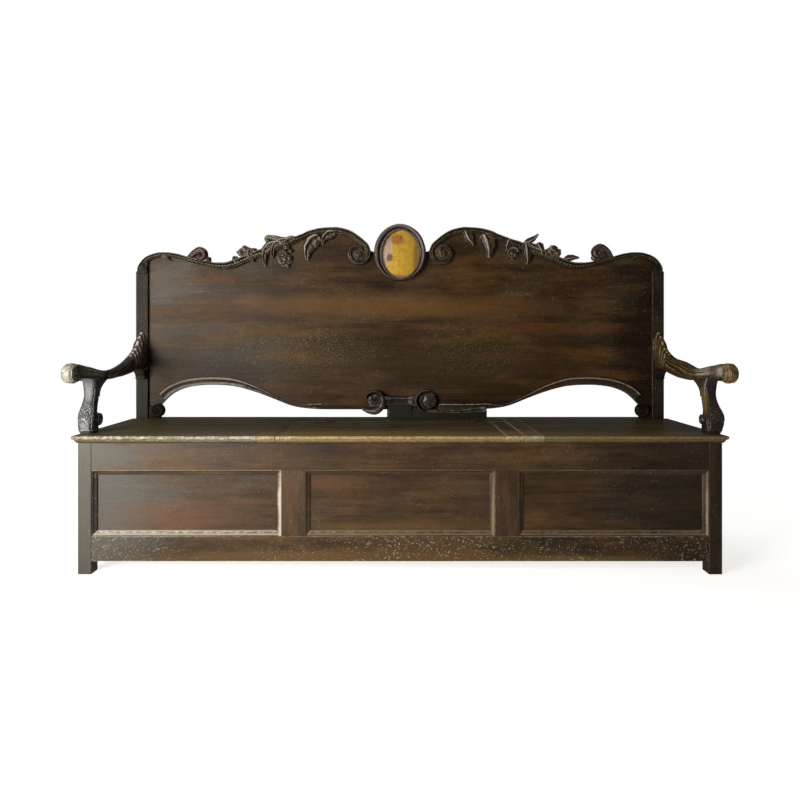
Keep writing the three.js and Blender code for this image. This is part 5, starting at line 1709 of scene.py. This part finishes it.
@dataclass
class Arm(Paired):
    """One arm: a carved rail that drops from the post and ends in a rolled hand, with a leaf and a bracket."""

    leafy: bpy.types.Material
    hand_finish: bpy.types.Material
    collar_finish: bpy.types.Material
    bracket_finish: bpy.types.Material
    strand_depth: float
    hand_carved: float = 2.4
    stout: float = 0.0  # how much taller the arm is in its middle, in hand radii
    arm_x: float = 1020.0
    hand_x: float = 1077.0
    hand_y: float = -206.0
    hand_z: float = 649.0
    hand_radius: float = 34.0
    hand_width: float = 42.0
    strands: float = 7.0
    twist: float = 5.5
    leaf_end: float = 0.31  # the leaf covers this share of the arm's reach

    def rail(self) -> tuple[Skin, Skin]:
        """The rail: squarish rings along y, with a leaf on its first part and twisting strands on the rest.

        The leaf's height is a cosine of the length less the distance from the midrib, plus a bell curve for the
        midrib. A strand's height is a power of the sine of its number times the angle, plus the twist.

        Returns:
            The leafy part and the stranded part.
        """
        rows = smooth_line(ARM_SHARES * (12, 1, 1, 1, 1), 170) / (12, 1, 1, 1, 1)
        reach, top, bottom, half, outward = rows.T
        stout = self.stout * bell(reach - 0.58, 0.24)
        top, bottom = top + stout, bottom - 0.25 * stout
        y = POST_FRONT - reach * (POST_FRONT - self.hand_y)
        x = -(self.arm_x + (self.hand_x - self.arm_x) * outward)
        z = self.hand_z + (top + bottom) / 2 * self.hand_radius
        size = np.stack([half, (top - bottom) / 2], axis=1) * self.hand_radius - 2.6
        angle = circle(96)
        over, walked = np.abs(np.cos(angle))[None, :], reach[:, None]
        upper = eased(np.sin(angle), -0.5, 0.2)[None, :]
        veins = 0.5 + 0.5 * np.cos(2 * math.pi * (19 * walked - 0.9 * over))
        leafage = 3.4 * veins**0.7 + 3.0 * bell(over, 0.16) - 1.5
        strand = np.abs(np.sin(self.strands * angle[None, :] + self.twist * walked)) ** 0.6
        root = 1 - eased(reach, self.leaf_end - 0.04, self.leaf_end + 0.02)[:, None]
        end = 1 - eased(reach, 0.93, 0.99)[:, None]
        relief = upper * end * (root * leafage + (1 - root) * self.strand_depth * strand)
        skin = lofted(np.stack([x, y, z], axis=1), size, (0, 2), 2.9, relief)
        points = skin.points + 0.5 * ripple(skin.points, 40, 21)[..., None] * (1, 0, 1)
        cut = int(np.searchsorted(reach, self.leaf_end))
        return Skin(points[: cut + 1], relief[: cut + 1]), Skin(points[cut:], relief[cut:])

    def bracket(self) -> Skin:
        """The moulded bracket under the arm, against the post: rings along z that swell upwards in three steps.

        Returns:
            The closed skin.
        """
        share = np.linspace(0, 1, 34)
        deep = 8 + 7 * eased(share, 0.3, 0.95)
        drawn = np.clip(rounded(share, 0.1, 0.04), 0, 1)
        centres = np.stack([np.full(34, -1019.0), POST_FRONT - deep, 604 + share * 37], axis=1)
        size = np.stack([19 + 3 * eased(share, 0.5, 1), deep], axis=1) * np.maximum(drawn, 0.02)[:, None]
        steps = 0.9 * np.abs(np.sin(3 * math.pi * share)) ** 0.5 * drawn
        skin = lofted(centres, size, (0, 1), 5, steps[:, None] * np.ones((1, 48)))
        return Skin(np.minimum(skin.points, (1e4, POST_FRONT, 1e4)), np.zeros_like(skin.relief))

    def web(self) -> tuple[Skin, Skin]:
        """The hollow web from the support's top to the arm: rings along z that spread with a power of the height.

        Returns:
            The part over the support, and the fillet that runs back under the arm.
        """
        share = np.linspace(0, 1, 26)
        spread = share**2
        centres = np.stack([-1015.5 - 6 * spread, -194 + 6 * spread, 606.4 + 26 * share], axis=1)
        size = np.stack([23.4 + 2 * spread, 21 + 10 * spread], axis=1)
        over = lofted(centres, size, (0, 1), 3.4, np.zeros((26, 48)))
        rear, near = -176 + 86 * share**2.2, -205
        centres = np.stack([-1012 - 3 * share, (rear + near) / 2, 572 + 60 * share], axis=1)
        size = np.stack([18.5 + 1.5 * share, (rear - near) / 2], axis=1)
        return over, lofted(centres, size, (0, 1), 3.0, np.zeros((26, 48)))

    def build(self) -> None:
        """Add the leafy root, the rail, the hand, the bracket and the web."""
        low, high = -self.hand_x - self.hand_width / 2, -self.hand_x + self.hand_width / 2
        hand = roll((self.hand_y, self.hand_z), low, high, self.hand_radius, 1, self.hand_carved, 31)
        root, rail = self.rail()
        collar, fillet = self.web()
        for part, skin, material in (
            ("leaf", root, self.leafy),
            ("rail", rail, self.carving),
            ("hand", hand, self.hand_finish),
            ("bracket", self.bracket(), self.bracket_finish),
            ("collar", collar, self.collar_finish),
            ("web", fillet, self.carving),
        ):
            self.add(f"arm_{part}", "arm", "worn_walnut", [skin], material)


@dataclass
class ArmSupport(Paired):
    """One carved support: it swells over its foot, leans back to a waist and carries the arm."""

    scroll_finish: bpy.types.Material
    foot_x: float = 1033.0
    foot_y: float = -177.0
    size: float = 50.0
    top: float = 606.0
    scroll_radius: float = 24.0
    scroll_back: float = 20.0
    swell: float = 3.0  # how much further its outer side stands out over the foot
    scroll_width: float = 60.0
    scroll_z: float = 493.0

    def shaft(self) -> Skin:
        """The shaft: squarish rings along z, with cuts low on its front and grooves along its sides.

        The cuts' depth is a smooth random ripple over the angle and the height, where it passes a level. A groove
        is a bell curve about its angle.

        Returns:
            The closed skin.
        """
        rows = smooth_line(SUPPORT_SHARES * (3, 1, 1, 1, 1), 120) / (3, 1, 1, 1, 1)
        up, outward, half_x, backward, half_y = rows.T
        swell = self.swell / self.size / 2 * bell(up - 0.3, 0.24)
        outward, half_x = outward + swell, half_x + swell
        foot = SEAT_TOP + 0.4
        z = foot + up * (self.top - 0.4 - foot)
        centres = np.stack([-self.foot_x - outward * self.size, self.foot_y + backward * self.size, z], axis=1)
        size = np.stack([half_x, half_y], axis=1) * self.size - 1.6
        angle = circle(120)[None, :]
        lines = sum(bell(angle - at, 0.09) for at in np.radians([18, 158, 202, 308]))
        front = eased(-np.sin(angle), 0.15, 0.6)
        belt = (eased(z, 466, 490) - eased(z, 532, 562))[:, None]
        flat = np.zeros((len(z), angle.size))
        place = np.stack([28 * np.cos(angle) + flat, 28 * np.sin(angle) + flat, z[:, None] + flat], axis=-1)
        pits = np.clip(2.2 * ripple(place, 9, 5) - 0.5, 0, 1)
        shaft = (eased(z, 462, 470) * (1 - eased(z, 594, 602)))[:, None]
        relief = -1.7 * pits * belt * front - 1.8 * lines * shaft
        relief = relief + 1.4 * bell(z - 461, 2.4)[:, None]
        skin = lofted(centres, size, (0, 1), 3.4, relief)
        return replace(skin, points=skin.points + 0.4 * ripple(skin.points, 30, 41)[..., None] * (1, 1, 0))

    def build(self) -> None:
        """Add the shaft and the scroll behind its foot."""
        high = -self.foot_x + self.scroll_width / 2
        low = high - self.scroll_width + 4
        back = roll((self.foot_y + self.scroll_back, self.scroll_z), low, high, self.scroll_radius, -1, 1.2, 43)
        self.add("support_shaft", "arm_support", "worn_walnut", [self.shaft()], self.carving)
        self.add("support_scroll", "arm_support", "worn_walnut", [back], self.scroll_finish)


def main() -> None:
    """Build the studio and dress the settle, one sub-assembly after another."""
    logging.basicConfig(level=logging.INFO, format="%(message)s")
    Studio().build()
    Boards().build()
    carved = {
        Grain.X: {
            "crest": CARVING, "band": BAND, "russet": RUSSET, "stony": STONY, "ring": RING, "foot": FOOT,
            "corner": CORNER, "hand_left": HAND_LEFT, "hand_right": HAND_RIGHT,
        },
        Grain.Y: {"arm_left": ARM_LEFT, "arm_right": ARM_RIGHT},
        Grain.Z: {
            "leaf_left": LEAF_LEFT, "leaf_right": LEAF_RIGHT, "support_left": SUPPORT_LEFT,
            "support_right": SUPPORT_RIGHT,
        },
    }
    made = {
        key: finish.material(f"carved_walnut_{key}", grain)
        for grain, finishes in carved.items()
        for key, finish in finishes.items()
    }
    for side in Side:
        Crest(side, made["crest"], made["band"], made["russet"], made["corner"]).build()
        ArchMoulding(side, made["crest"], made["corner"]).build()
        rail, leafy, hand, support = (made[f"{key}_{side.label}"] for key in ("arm", "leaf", "hand", "support"))
        if side is Side.LEFT:
            Arm(side, rail, leafy, hand, support, made["corner"], strand_depth=2.3, hand_carved=3.04).build()
            ArmSupport(side, support, support).build()
        else:
            Arm(side, rail, leafy, hand, support, made["corner"], strand_depth=3.0, hand_carved=3.6, stout=0.6).build()
            ArmSupport(side, support, made["band"], scroll_radius=20.0, scroll_back=11.0, swell=11.0).build()
    Medallion(made["ring"], made["stony"], Gilding().material("old_gilding", (0.0, 0.2, 1.097))).build()
    BaseOrnament(made["ring"], made["stony"], made["foot"]).build()


if __name__ == "__main__":
    main()
